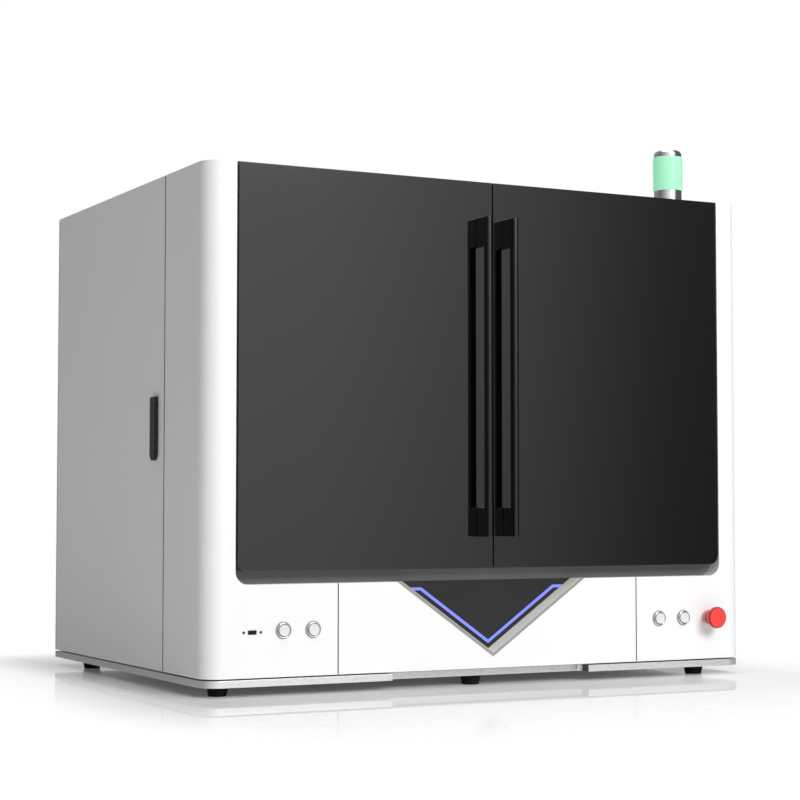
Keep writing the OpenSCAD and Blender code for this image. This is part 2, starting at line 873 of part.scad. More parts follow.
// Slots of the fan's grille: rings of air between concentric bars, parted by four spokes.
module grille_slots() {
    pitch = fan_hole_d / 2 / grille_rings;
    difference() {
        circle(d = fan_hole_d);
        circle(r = pitch);
        for (i = [2 : grille_rings - 1]) difference() {
            circle(r = i * pitch + grille_bar / 2);
            circle(r = i * pitch - grille_bar / 2);
        }
        for (a = [45, 135]) rotate(a) square([fan_w, 2 * grille_bar], center = true);
    }
}

// Rear panel with louvres, the fan's grille and holes for duct, mains inlet and gas fitting.
module rear_panel() color(WHITE) seat() difference() {
    block([-half_w, rear_panel_u, cabinet_z], [half_w, cabinet_d, cabinet_top]);
    for (i = [0 : louvre_rows - 1], x = louvre_xs)
        block([x, rear_panel_u - cut, louvre_z + i * louvre_pitch],
              [x + louvre_w, cabinet_d + cut, louvre_z + i * louvre_pitch + louvre_h]);
    translate([fan_x, 0, fan_z]) elevation(rear_panel_u - cut, cabinet_d + cut) grille_slots();
    along_depth(duct_x, duct_z, rear_panel_u - cut, cabinet_d + cut, duct_d);
    along_depth(gas_x, inlet_z, rear_panel_u - cut, cabinet_d + cut, gas_d);
    block([inlet_x - inlet_w / 2, rear_panel_u - cut, inlet_z - inlet_h / 2],
          [inlet_x + inlet_w / 2, cabinet_d + cut, inlet_z + inlet_h / 2]);
}

// ---------------------------------------------------------------- chamber

module door_surround() color(DARK) seat() elevation(surround_u, surround_rear) difference() {
    translate([-frame_half, sill_z - surround_lap])
        square([2 * frame_half, frame_top - sill_z + surround_lap]);
    mouth_outline(0);
}

// Outline of the chamber mouth with rounded corners, grown by a margin.
module mouth_outline(grow) {
    r = mouth_r + grow;
    x = mouth_half + grow;
    z0 = mouth_z0 - grow;
    z1 = mouth_z1 + grow;
    translate([-x + r, z0]) square([2 * (x - r), z1 - z0]);
    translate([-x, z0 + r]) square([2 * x, z1 - z0 - 2 * r]);
    for (side = [-1, 1], z = [z0 + r, z1 - r]) translate([side * (x - r), z]) circle(r = r);
}

module door_seal() color(BLACK) seat() elevation(door_rear_u + seal_clear, surround_u) difference() {
    mouth_outline(seal_inset + seal_w);
    mouth_outline(seal_inset);
}

// Folded liner: side walls, ceiling and rear wall of the chamber, with the exhaust opening.
module chamber_liner() color(STEEL) seat() difference() {
    outer = chamber_half_w + sheet_t;
    block([-outer, surround_rear, bed_rail_z], [outer, bulkhead_u + sheet_t, frame_top - tube_w]);
    block([-chamber_half_w, surround_rear - cut, bed_rail_z - cut],
          [chamber_half_w, bulkhead_u, frame_top - tube_w - sheet_t]);
    along_depth(duct_x, duct_z, bulkhead_u - cut, bulkhead_u + sheet_t + cut, duct_d);
}

module hinge_arms() color(STEEL) seat() both_sides() {
    at_front_hinges() hinge_arm(surround_u - front_hinge_face + door_proud);
    at_side_hinges() hinge_arm(half_w - side_hinge_face - frame_half);
}

module hinge_pins() color(STEEL) seat() both_sides() {
    at_front_hinges() hinge_pin();
    at_side_hinges() hinge_pin();
}

// ---------------------------------------------------------------- slat bed

module bed_frame() color(DARK) seat() difference() {
    block([-bed_half_w, bed_u0, bed_z], [bed_half_w, bed_u1, bed_top]);
    block([-bed_half_w + bed_bar_w, bed_u0 + bed_bar_w, bed_z - cut],
          [bed_half_w - bed_bar_w, bed_u1 - bed_bar_w, bed_top + cut]);
    for (i = [1 : slat_count]) translate([slat_x(i), 0, 0])
        block([-slat_t / 2, bed_u0 - cut, slat_z], [slat_t / 2, bed_u1 + cut, bed_top + cut]);
}

function slat_x(i) = -bed_half_w + bed_bar_w + i * slat_pitch;

// Side view of one slat: a straight blade with a row of pointed teeth.
module slat_profile() {
    teeth = floor(slat_len / tooth_pitch);
    margin = (slat_len - teeth * tooth_pitch) / 2;
    root = slat_top - tooth_h;
    tips = [
        for (i = [0 : teeth - 1], step = [0, 1])
            [bed_u0 + margin + (i + step / 2) * tooth_pitch, step == 0 ? root : slat_top]
    ];
    last = [[bed_u1 - margin, root], [bed_u1, root], [bed_u1, slat_z]];
    polygon(concat([[bed_u0, slat_z], [bed_u0, root]], tips, last));
}

module bed_slats() color(STEEL) seat()
    for (i = [1 : slat_count])
        side_elevation(slat_x(i) - slat_t / 2, slat_x(i) + slat_t / 2) slat_profile();

// ---------------------------------------------------------------- motion system

// Side beams with a lightening slot, which stand on the cross rails.
module side_beams() color(ALU) seat() both_sides() difference() {
    block([beam_x, beam_u0, bed_rail_z], [beam_x + beam_w, beam_u1, beam_top]);
    for (i = [0 : beam_windows - 1]) {
        pitch = (beam_u1 - beam_u0) / beam_windows;
        block([beam_x - cut, beam_u0 + i * pitch + beam_wall, bed_rail_z + beam_wall],
              [beam_x + beam_w + cut, beam_u0 + (i + 1) * pitch - beam_wall, beam_top - beam_wall]);
    }
}

// Section of a guide rail, standing on its base, with the grooves that the balls run in.
module rail_section() {
    difference() {
        translate([-rail_w / 2, 0]) square([rail_w, rail_h]);
        for (side = [-1, 1]) translate([side * rail_w / 2, rail_h * 2 / 3]) circle(r = rail_groove);
    }
}

// Section of a rail block: a saddle over the rail with a running gap.
module block_section() {
    w = rail_w / 2 + rail_clear;
    difference() {
        translate([-block_w / 2, rail_h / 3]) square([block_w, rail_h * 2 / 3 + block_rise]);
        translate([-w, 0]) square([2 * w, rail_h + rail_clear]);
    }
}

module side_rails() color(STEEL) seat() both_sides()
    translate([rail_x, beam_u1, beam_top]) rotate([90, 0, 0])
        linear_extrude(height = beam_u1 - beam_u0) rail_section();

// Capped box beam on four rail blocks, with windows in its rear wall.
module gantry_beam() color(ALU) seat() {
    both_sides() for (u = [gantry_u, gantry_rear - block_len])
        translate([rail_x, u + block_len, beam_top]) rotate([90, 0, 0])
            linear_extrude(height = block_len) block_section();
    difference() {
        block([-beam_x - beam_w, gantry_u, block_top],
              [beam_x + beam_w, gantry_rear, block_top + gantry_h]);
        block([-beam_x - beam_w + gantry_wall, gantry_u + gantry_wall, block_top + gantry_wall],
              [beam_x + beam_w - gantry_wall, gantry_rear - gantry_wall,
               block_top + gantry_h - gantry_wall]);
        for (i = [0 : gantry_windows - 1]) {
            pitch = 2 * beam_x / gantry_windows;
            block([-beam_x + i * pitch + gantry_rib, gantry_rear - gantry_wall - cut,
                   block_top + gantry_rib],
                  [-beam_x + (i + 1) * pitch - gantry_rib, gantry_rear + cut,
                   block_top + gantry_h - gantry_rib]);
        }
    }
}

// Turns a rail or block section so that it stands out of the gantry's front face.
module on_gantry(z, x0, x1) {
    translate([x0, gantry_u, z]) rotate([90, 0, 90]) linear_extrude(height = x1 - x0)
        rotate(90) children();
}

module gantry_rails() color(STEEL) seat()
    for (z = x_rail_z) on_gantry(z, -x_rail_half, x_rail_half) rail_section();

// Carriage plate on four rail blocks.
module carriage() color(ALU) seat() {
    for (z = x_rail_z, x = [carriage_x - carriage_w / 2, carriage_x + carriage_w / 2 - carriage_block])
        on_gantry(z, x, x + carriage_block) block_section();
    block([carriage_x - carriage_w / 2, carriage_u - carriage_t, carriage_z],
          [carriage_x + carriage_w / 2, carriage_u, carriage_z + carriage_h]);
}

// Cutting head: slide plate, square focus body, round collimator and the fibre connector on top.
module cutting_head() color(DARK) seat() {
    plate_z = carriage_z + head_travel;
    block([carriage_x - head_plate_w / 2, head_u, plate_z],
          [carriage_x + head_plate_w / 2, carriage_u - carriage_t, carriage_z + carriage_h]);
    translate([carriage_x, head_u, 0]) {
        translate([0, 0, head_z]) cylinder(h = head_cone_h, d1 = nozzle_d, d2 = head_d);
        translate([0, 0, head_z + head_cone_h]) cylinder(h = head_barrel_h, d = head_d);
        body_z = head_z + head_cone_h + head_barrel_h;
        block([-head_body_w / 2, -head_d / 2, body_z],
              [head_body_w / 2, head_d / 2 + eps, body_z + head_body_h]);
        collimator_z = body_z + head_body_h;
        translate([0, 0, collimator_z]) cylinder(h = head_z + head_len - collimator_z, d = collimator_d);
        translate([0, 0, head_z + head_len])
            cylinder(h = connector_h, d1 = connector_d + connector_h / 2, d2 = connector_d);
    }
}

module nozzle() color([0.78, 0.55, 0.25]) seat() translate([carriage_x, head_u, nozzle_z]) difference() {
    rotate_extrude() polygon([
        [0, 0], [nozzle_tip_d / 2, 0], [nozzle_d / 2, nozzle_len / 2],
        [nozzle_d / 2, nozzle_len], [0, nozzle_len]
    ]);
    translate([0, 0, -cut]) cylinder(h = nozzle_len * 2 / 3, d = nozzle_hole_d);
}

// ---------------------------------------------------------------- equipment bay

// Laser source: a housing with upright cooling fins on the side that faces the rear.
module laser_source() color(DARK) seat() {
    rear_u = bay_u + source_d;
    block([source_x, bay_u, floor_top], [source_x + source_w, rear_u - fin_d, floor_top + source_h]);
    for (i = [0 : fin_count - 1]) {
        x = source_x + i * (source_w - fin_t) / (fin_count - 1);
        block([x, rear_u - fin_d - cut, floor_top + fin_margin],
              [x + fin_t, rear_u, floor_top + source_h - fin_margin]);
    }
    translate([source_x + source_w / 4, bay_u + (source_d - fin_d) / 2, floor_top + source_h])
        cylinder(h = connector_h, d = collimator_d);
}

module power_supply() color(STEEL) seat() difference() {
    block([supply_x, bay_u, floor_top], [supply_x + supply_w, bay_u + supply_d, floor_top + supply_h]);
    for (i = [0 : supply_slots - 1])
        block([supply_x + supply_margin, bay_u + supply_d - supply_slot_d,
               floor_top + supply_margin + i * louvre_pitch],
              [supply_x + supply_w - supply_margin, bay_u + supply_d + cut,
               floor_top + supply_margin + i * louvre_pitch + louvre_h]);
}

// Motion controller on the back of the chamber's rear wall, with a row of terminal blocks.
module motion_controller() color([0.20, 0.35, 0.28]) seat() {
    x0 = controller_x - controller_w / 2;
    u0 = bulkhead_u + sheet_t;
    block([x0, u0, controller_z], [x0 + controller_w, u0 + controller_d, controller_z + controller_h]);
    for (i = [0 : terminal_count - 1])
        block([x0 + terminal_w / 2 + i * (controller_w - 2 * terminal_w) / (terminal_count - 1),
               u0 + cut, controller_z - terminal_h],
              [x0 + terminal_w * 3 / 2 + i * (controller_w - 2 * terminal_w) / (terminal_count - 1),
               u0 + controller_d / 2, controller_z + cut]);
}

// Turns fan parts so that their axis runs along the depth, starting behind the housing's front face.
module at_fan(depth) {
    translate([fan_x, rear_panel_u - fan_d + depth, fan_z]) rotate([-90, 0, 0]) children();
}

// Fan housing inside the rear panel: square frame, motor mount and spokes in front of the blades.
module fan_housing() color(BLACK) seat() at_fan(0) {
    difference() {
        translate([-fan_w / 2, -fan_w / 2, 0]) cube([fan_w, fan_w, fan_d]);
        translate([0, 0, -cut]) cylinder(h = fan_d + 2 * cut, d = fan_bore_d);
    }
    cylinder(h = fan_spoke_t, d = fan_hub_d);
    for (a = [45 : 90 : 315]) rotate(a)
        translate([0, -fan_spoke_w / 2, 0]) cube([fan_bore_d / 2 + cut, fan_spoke_w, fan_spoke_t]);
    cylinder(h = fan_d / 2, d = fan_shaft_d);
}

// Fan rotor: a hub on the shaft with pitched blades.
module fan_rotor() color(BLACK) seat() at_fan(fan_spoke_t + fan_gap) difference() {
    root_x = fan_hub_d / 2 - fan_blade_t;
    union() {
        cylinder(h = fan_hub_h, d = fan_hub_d);
        for (i = [0 : fan_blades - 1]) rotate(i * 360 / fan_blades)
            translate([root_x, 0, fan_hub_h / 2]) rotate([fan_pitch, 0, 0])
                translate([0, -fan_chord / 2, -fan_blade_t / 2])
                    cube([fan_bore_d / 2 - fan_tip_gap - root_x, fan_chord, fan_blade_t]);
    }
    translate([0, 0, -cut]) cylinder(h = fan_d, d = fan_shaft_d + 2 * hinge_clear);
}

// Exhaust duct from the chamber's rear wall through the rear panel, with a flange outside the panel.
module exhaust_duct() color(STEEL) seat() difference() {
    union() {
        along_depth(duct_x, duct_z, bulkhead_u, cabinet_d + duct_reach, duct_d);
        along_depth(duct_x, duct_z, cabinet_d, cabinet_d + duct_flange_t, duct_d + 2 * duct_flange_w);
    }
    along_depth(duct_x, duct_z, bulkhead_u - cut, cabinet_d + duct_reach + cut, duct_d - 2 * duct_wall);
}

// Centred box in the rear panel's plane, between two depths behind the cabinet's rear face.
module inlet_block(z, w, h, u0, u1) {
    block([-w / 2, u0, z - h / 2], [w / 2, u1, z + h / 2]);
}

module at_inlet() {
    translate([inlet_x, cabinet_d, inlet_z]) children();
}

// Recessed mains inlet with three contacts, in one housing with the power switch above it.
module mains_inlet() color(BLACK) seat() at_inlet() {
    front = inlet_flange_t + cut;
    difference() {
        union() {
            inlet_block(0, inlet_w, inlet_h, -inlet_depth, cut);
            inlet_block(0, inlet_w + 2 * inlet_flange_w, inlet_h + 2 * inlet_flange_w, 0, inlet_flange_t);
        }
        inlet_block(socket_z, socket_w, socket_h, -socket_depth, front);
        inlet_block(rocker_z, rocker_w + 2 * rocker_clear, rocker_h + 2 * rocker_clear,
                    -rocker_depth, front);
    }
    for (x = [-contact_x, 0, contact_x]) translate([x, 0, x == 0 ? contact_w : 0])
        inlet_block(socket_z, contact_w / 2, contact_w, -socket_depth - cut, -contact_w);
    both_sides() translate([rocker_w / 2 + rocker_clear + cut, rocker_axis, rocker_z]) rotate([0, -90, 0])
        cylinder(h = pivot_h + rocker_clear + cut, d = pivot_d);
}

// Rocker of the power switch: a shallow V face on a rounded back, turning on two pivots.
module power_switch() color(RED) seat() at_inlet() translate([0, rocker_axis, rocker_z]) difference() {
    side_elevation(-rocker_w / 2, rocker_w / 2) {
        circle(r = rocker_half);
        polygon([
            [0, -rocker_half], [rocker_face + rocker_edge, -rocker_half], [rocker_face - rocker_edge, 0],
            [rocker_face + rocker_edge, rocker_half], [0, rocker_half]
        ]);
    }
    both_sides() translate([rocker_w / 2 + cut, 0, 0]) rotate([0, -90, 0])
        cylinder(h = pivot_h + stem_clear + cut, d = pivot_d + 2 * hinge_clear);
}

// Push-in gas fitting: barrel through the panel, hexagon outside and release ring at the end.
module gas_fitting() color([0.75, 0.60, 0.30]) seat() difference() {
    union() {
        along_depth(gas_x, inlet_z, rear_panel_u - gas_tail, cabinet_d + cut, gas_d);
        translate([gas_x, cabinet_d + gas_hex_h, inlet_z]) rotate([90, 0, 0])
            cylinder(h = gas_hex_h, d = gas_hex_d, $fn = 6);
        along_depth(gas_x, inlet_z, cabinet_d + gas_hex_h - cut, cabinet_d + gas_reach, gas_ring_d);
    }
    along_depth(gas_x, inlet_z, cabinet_d + gas_stop, cabinet_d + gas_reach + cut, gas_hose_d);
}

// ---------------------------------------------------------------- signal lamp

module lamp_base() color(STEEL) seat() translate([lamp_x, lamp_u, 0]) {
    translate([0, 0, frame_top - lamp_neck_h]) cylinder(h = lamp_neck_h + sheet_t + cut, d = lamp_neck_d);
    translate([0, 0, cabinet_top]) cylinder(h = lamp_base_h, d = lamp_d);
    translate([0, 0, cabinet_top + lamp_base_h - cut]) cylinder(h = lens_h - lens_wall, d = lamp_core_d);
}

module lamp_lens() color([0.45, 0.90, 0.65]) seat()
    translate([lamp_x, lamp_u, cabinet_top + lamp_base_h]) difference() {
        cylinder(h = lens_h, d = lens_d);
        translate([0, 0, -cut]) cylinder(h = lens_h - lens_wall + cut, d = lens_d - 2 * lens_wall);
    }

// Turned cap whose upper edge is rounded.
module lamp_cap() color(STEEL) seat() translate([lamp_x, lamp_u, cabinet_top + lamp_base_h + lens_h])
    rotate_extrude() {
        square([lamp_d / 2, lamp_cap_h - lamp_cap_r]);
        square([lamp_d / 2 - lamp_cap_r, lamp_cap_h]);
        intersection() {
            translate([lamp_d / 2 - lamp_cap_r, lamp_cap_h - lamp_cap_r]) circle(r = lamp_cap_r);
            square([lamp_d / 2, lamp_cap_h]);
        }
    }

// ---------------------------------------------------------------- front controls

// Data socket: a metal shell with its tongue, and the two screws that hold it.
module data_socket() color(BLACK) seat() {
    difference() {
        block([usb_x - usb_w / 2, -usb_proud, usb_z - usb_h / 2],
              [usb_x + usb_w / 2, usb_depth, usb_z + usb_h / 2]);
        block([usb_x - usb_w / 2 + usb_wall, -usb_proud - cut, usb_z - usb_h / 2 + usb_wall],
              [usb_x + usb_w / 2 - usb_wall, usb_depth - usb_ear_t, usb_z + usb_h / 2 - usb_wall]);
    }
    block([usb_x - usb_w / 3, usb_wall, usb_z], [usb_x + usb_w / 3, usb_depth - usb_wall, usb_z + usb_wall]);
    for (side = [0, 1]) translate([usb_x, 0, usb_z]) mirror([side, 0, 0]) {
        block([usb_w / 2 - eps, shell_t, -usb_h], [usb_screw_x + usb_screw_d, shell_t + usb_ear_t, usb_h]);
        along_depth(usb_screw_x, 0, -usb_proud, shell_t + usb_ear_t / 2, usb_screw_d);
    }
}

// Bezels: a domed ring in front of the panel and a threaded barrel and nut behind it.
module button_bezels() color(STEEL) seat() for (x = button_xs)
    translate([x, 0, control_z]) rotate([-90, 0, 0]) difference() {
        union() {
            translate([0, 0, -bezel_h]) cylinder(h = bezel_h, d1 = bezel_d - bezel_h / 2, d2 = bezel_d);
            cylinder(h = barrel_len, d = barrel_d);
            translate([0, 0, shell_t]) cylinder(h = nut_t, d = barrel_d + 2 * nut_w);
        }
        translate([0, 0, -bezel_h - cut])
            cylinder(h = bezel_h + button_len + button_travel + 2 * cut, d = button_d + 2 * button_clear);
    }

// Moving cap of a push button, with a slightly dished face.
module push_button(x) color(WHITE) seat() translate([x, 0, control_z]) rotate([-90, 0, 0]) difference() {
    translate([0, 0, -bezel_h - button_proud])
        cylinder(h = bezel_h + button_proud + button_len, d = button_d);
    translate([0, 0, -bezel_h - button_proud - button_dish_r + button_dish]) sphere(r = button_dish_r);
}

module push_button_1() push_button(button_xs[0]);
module push_button_2() push_button(button_xs[1]);
module push_button_3() push_button(button_xs[2]);
module push_button_4() push_button(button_xs[3]);

module at_estop() {
    translate([estop_x, 0, control_z]) rotate([-90, 0, 0]) children();
}

// Collar of the emergency stop, recessed so that the head's neck can sink into it.
module estop_collar() color(STEEL) seat() at_estop() difference() {
    union() {
        translate([0, 0, -estop_collar_h]) cylinder(h = estop_collar_h, d = estop_collar_d);
        cylinder(h = barrel_len, d = barrel_d);
        translate([0, 0, shell_t]) cylinder(h = nut_t, d = barrel_d + 2 * nut_w);
    }
    translate([0, 0, -estop_collar_h - cut]) {
        cylinder(h = estop_collar_h, d = estop_neck_d + 4 * button_clear);
        cylinder(h = estop_collar_h + barrel_len - cut, d = estop_stem_d + 2 * button_clear);
    }
}

module estop_stem() color(RED) seat() at_estop()
    translate([0, 0, -estop_stem_tip])
        cylinder(h = estop_stem_tip + barrel_len - estop_stem_gap - estop_travel, d = estop_stem_d);

// Mushroom head: neck, flared underside and gently domed face, with a blind bore for the stem.
module estop_head() color(RED) seat() translate([estop_x, 0, control_z]) rotate([90, 0, 0]) difference() {
    rotate_extrude() polygon([
        [0, estop_neck_z], [estop_neck_d / 2, estop_neck_z],
        [estop_neck_d / 2, estop_neck_z + estop_neck_h],
        [estop_d / 2 - estop_edge, estop_reach - estop_rim_h],
        [estop_d / 2, estop_reach - estop_rim_h + estop_edge],
        [estop_d / 2, estop_reach - 2 * estop_edge],
        [estop_d / 2 - estop_edge, estop_reach - estop_edge / 2],
        [estop_d / 2 - 3 * estop_edge, estop_reach], [0, estop_reach]
    ]);
    translate([0, 0, estop_neck_z - cut])
        cylinder(h = estop_stem_tip + stem_clear - estop_neck_z + cut, d = estop_stem_d + 2 * hinge_clear);
}

// ---------------------------------------------------------------- front doors

// Front view of the right door.
module door_outline() {
    round_bottom_right(split_gap / 2, door_out_x, door_z, cabinet_top, door_r);
}

module door_glass() {
    elevation(-door_proud, glass_t - door_proud) door_outline();
}

// Frame behind the glass: two stiles with two rails butted between them, slotted for the hinge arms
// and bored for the hinge pins.
module door_frame() {
    rail_x = split_gap / 2 + door_stile;
    rail_w = door_out_x - door_stile - rail_x;
    difference() {
        elevation(glass_t - door_proud, door_rear_u) difference() {
            door_outline();
            translate([rail_x, door_z + door_stile]) square([rail_w, door_h - 2 * door_stile]);
            for (x = [rail_x, rail_x + rail_w - frame_joint])
                translate([x, door_z - cut]) square([frame_joint, door_h + 2 * cut]);
        }
        at_front_hinges() hinge_cut(front_hinge_edge, front_hinge_face - glass_t, door_rear_u);
    }
}

// Pull handle of the right door: two end posts carry a grip bar with a rounded nose.
module handle() translate([split_gap / 2 + handle_x - handle_w / 2, -door_proud, door_z + handle_z]) {
    reach = handle_reach - door_proud;
    nose_r = handle_w / 2;
    difference() {
        linear_extrude(height = handle_h) {
            translate([0, -reach + nose_r]) square([handle_w, reach - nose_r]);
            translate([nose_r, -reach + nose_r]) circle(r = nose_r);
        }
        block([-cut, -reach + grip_d, handle_post_h], [handle_w + cut, cut, handle_h - handle_post_h]);
    }
}

module right_door_glass() color(BLACK) seat() door_glass();
module left_door_glass() color(BLACK) seat() mirror([1, 0, 0]) door_glass();
module right_door_frame() color(DARK) seat() door_frame();
module left_door_frame() color(DARK) seat() mirror([1, 0, 0]) door_frame();
module right_handle() color(BLACK) seat() handle();
module left_handle() color(BLACK) seat() mirror([1, 0, 0]) handle();

// ---------------------------------------------------------------- side doors

// Right side door: folded tray with a hinge stile inside its rear edge and a bore for the latch.
module side_door() {
    inner = half_w - side_door_t;
    skin = half_w - sheet_t;
    latch_y = seam_u + latch_u;
    difference() {
        union() {
            difference() {
                block([inner, side_door_front, cabinet_z], [half_w, side_door_rear, cabinet_top]);
                block([inner - cut, side_door_front + sheet_t, cabinet_z + sheet_t],
                      [skin, side_door_rear - sheet_t, cabinet_top - sheet_t]);
            }
            block([inner, side_door_rear - side_stile, cabinet_z],
                  [half_w - cut, side_door_rear, cabinet_top]);
            side_elevation(skin - latch_boss_t, skin + cut)
                translate([latch_y, latch_z]) circle(d = latch_boss_d);
        }
        at_side_hinges() hinge_cut(side_hinge_edge, side_hinge_face - sheet_t, side_door_t);
        side_elevation(inner - cut, half_w + cut)
            translate([latch_y, latch_z]) circle(d = latch_spindle_d + 2 * latch_clear);
    }
}

// Latch of the right side door: lever with a rounded lower end and a lock barrel, spindle and tongue.
module latch() {
    tip_r = latch_w / 2;
    x0 = half_w + latch_rosette_t;
    x1 = half_w + latch_reach;
    tongue_x = half_w - side_door_t - tongue_gap - tongue_t;
    translate([0, seam_u + latch_u, latch_z]) {
        side_elevation(x0, x1) {
            translate([-latch_w / 2, -latch_len + tip_r]) square([latch_w, latch_len - tip_r + latch_head]);
            translate([0, -latch_len + tip_r]) circle(r = tip_r);
        }
        side_elevation(half_w, x0 + cut) circle(d = latch_rosette_d);
        side_elevation(x1 - cut, x1 + latch_key_h) circle(d = latch_key_d);
        side_elevation(tongue_x, half_w + cut) circle(d = latch_spindle_d);
        side_elevation(tongue_x, tongue_x + tongue_t) {
            circle(d = tongue_w);
            translate([-tongue_w / 2, -tongue_len]) square([tongue_w, tongue_len]);
        }
    }
}

module right_side_door() color(WHITE) seat() side_door();
module left_side_door() color(WHITE) seat() mirror([1, 0, 0]) side_door();
module right_latch() color(BLACK) seat() latch();
module left_latch() color(BLACK) seat() mirror([1, 0, 0]) latch();

// ---------------------------------------------------------------- scrap drawer

// V outline of the emblem recess, moved inwards by an inset measured square to its edges.
module v_outline(inset) {
    half = emblem_half_w - inset / sin(emblem_angle);
    low = sill_z - emblem_h + inset / cos(emblem_angle);
    polygon([[-half, sill_z], [0, low], [half, sill_z]]);
}

// Drawer front: folded panel whose upper edge is cut by the V of the emblem recess.
module drawer_front() color(WHITE) seat() difference() {
    half = drawer_half_w - drawer_gap;
    union() {
        block([-half, 0, cabinet_z], [half, shell_t, drawer_z1]);
        for (side = [0, 1]) mirror([side, 0, 0])
            block([half - sheet_t, 0, cabinet_z], [half, drawer_edge_d, drawer_z1]);
        block([-half, 0, drawer_z1 - sheet_t], [half, reveal_d - cut, drawer_z1]);
        block([-half, 0, cabinet_z], [half, drawer_edge_d, cabinet_z + sheet_t]);
    }
    elevation(-cut, reveal_d + cut) v_cut();
}

// The V as a cutter, carried on above the top edge.
module v_cut() {
    v_outline(0);
    translate([-emblem_half_w, sill_z - eps]) square([2 * emblem_half_w, emblem_rise]);
}

// Bright V trim: a flat rim and a sloping inner wall down to the dark panel.
module emblem_trim() color(STEEL) seat() difference() {
    elevation(-trim_proud, emblem_depth) v_outline(0);
    hull() {
        elevation(-trim_proud - cut, -trim_proud - cut / 2) v_outline_open(emblem_rim);
        elevation(emblem_depth, emblem_depth + cut) v_outline_open(emblem_wall_end);
    }
}

// The V outline, lengthened upwards along its edges so that a cut is open at the top.
module v_outline_open(inset) {
    half = emblem_half_w + emblem_rise / tan(emblem_angle) - inset / sin(emblem_angle);
    low = sill_z - emblem_h + inset / cos(emblem_angle);
    polygon([[-half, sill_z + emblem_rise], [0, low], [half, sill_z + emblem_rise]]);
}

// The line of light: two legs that meet in a point, with short level ends.
module light_line() {
    middle = emblem_wall_end + light_inset;
    level_z = sill_z - light_drop;
    intersection() {
        union() {
            difference() {
                v_outline(middle - light_w / 2);
                v_outline_open(middle + light_w / 2);
                translate([-half_w, level_z + light_w / 2]) square([cabinet_w, apron_h]);
            }
            difference() {
                translate([-half_w, level_z - light_w / 2]) square([cabinet_w, light_w]);
                v_outline_open(middle + light_w / 2);
            }
        }
        v_outline(emblem_wall_end);
    }
}

module emblem_panel() color(DARK) seat() difference() {
    elevation(emblem_depth, emblem_depth + emblem_panel_t) v_outline(emblem_rim / 2);
    elevation(emblem_depth - cut, emblem_depth + light_groove) light_line();
}

module emblem_light() color([0.55, 0.60, 1.0]) seat()
    elevation(emblem_depth - light_proud, emblem_depth + light_groove) light_line();

// Drawer tray: open box behind a mounting wall, with a slide rail along each side.
module drawer_tray() color(STEEL) seat() {
    wall_half = drawer_half_w - drawer_gap;
    block([-wall_half, tray_u, cabinet_z + sheet_t], [wall_half, tray_u + sheet_t, tray_z + tray_h]);
    difference() {
        block([-tray_half_w, tray_u + cut, tray_z], [tray_half_w, tray_u + tray_len, tray_z + tray_h]);
        block([-tray_half_w + sheet_t, tray_u + sheet_t, tray_z + sheet_t],
              [tray_half_w - sheet_t, tray_u + tray_len - sheet_t, tray_z + tray_h + cut]);
    }
    both_sides() block([tray_half_w - cut, tray_u + slide_rail_gap, slide_rail_z],
                       [tray_half_w + slide_rail_w, tray_u + tray_len, slide_rail_z + slide_rail_h]);
}

// Runners: a channel round each slide rail, on a web that stands on the floor plate.
module drawer_runners() color(STEEL) seat() both_sides() {
    x0 = tray_half_w + slide_clear;
    x1 = tray_half_w + slide_rail_w + slide_clear;
    u0 = surround_rear + tube_w + runner_front_gap;
    u1 = tray_u + tray_len;
    z0 = slide_rail_z - slide_clear;
    block([x0, u0, z0 - runner_wall], [x1 + runner_wall, u1, z0]);
    block([x0, u0, z0 + runner_gap], [x1 + runner_wall, u1, z0 + runner_gap + runner_wall]);
    block([x1, u0, floor_top], [x1 + runner_wall, u1, z0 + runner_gap + runner_wall]);
    block([x1, u0, floor_top], [x1 + runner_foot_w, u1, floor_top + runner_wall]);
}

feet();
base_plate();
chassis_floor();
chassis_frame();
door_surround();
door_seal();
front_shell_left();
front_shell_right();
top_cover();
rear_panel();
chamber_liner();
hinge_arms();
hinge_pins();
drawer_runners();
bed_frame();
bed_slats();
side_beams();
side_rails();
laser_source();
power_supply();
motion_controller();
fan_housing();
fan_rotor();
exhaust_duct();
mains_inlet();
power_switch();
gas_fitting();
lamp_base();
lamp_lens();
lamp_cap();
data_socket();
button_bezels();
push_button_1();
push_button_2();
push_button_3();
push_button_4();
estop_collar();
estop_stem();
estop_head();
left_door_glass();
left_door_frame();
left_handle();
right_door_glass();
right_door_frame();
right_handle();
left_side_door();
left_latch();
right_side_door();
right_latch();
drawer_front();
emblem_trim();
emblem_panel();
emblem_light();
drawer_tray();
gantry_beam();
gantry_rails();
carriage();
cutting_head();
nozzle();
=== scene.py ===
"""Looks of the desktop fiber laser cutter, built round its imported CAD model. All lengths are in metres."""

import json
import math

import bmesh
import bpy
from mathutils import Matrix, Vector

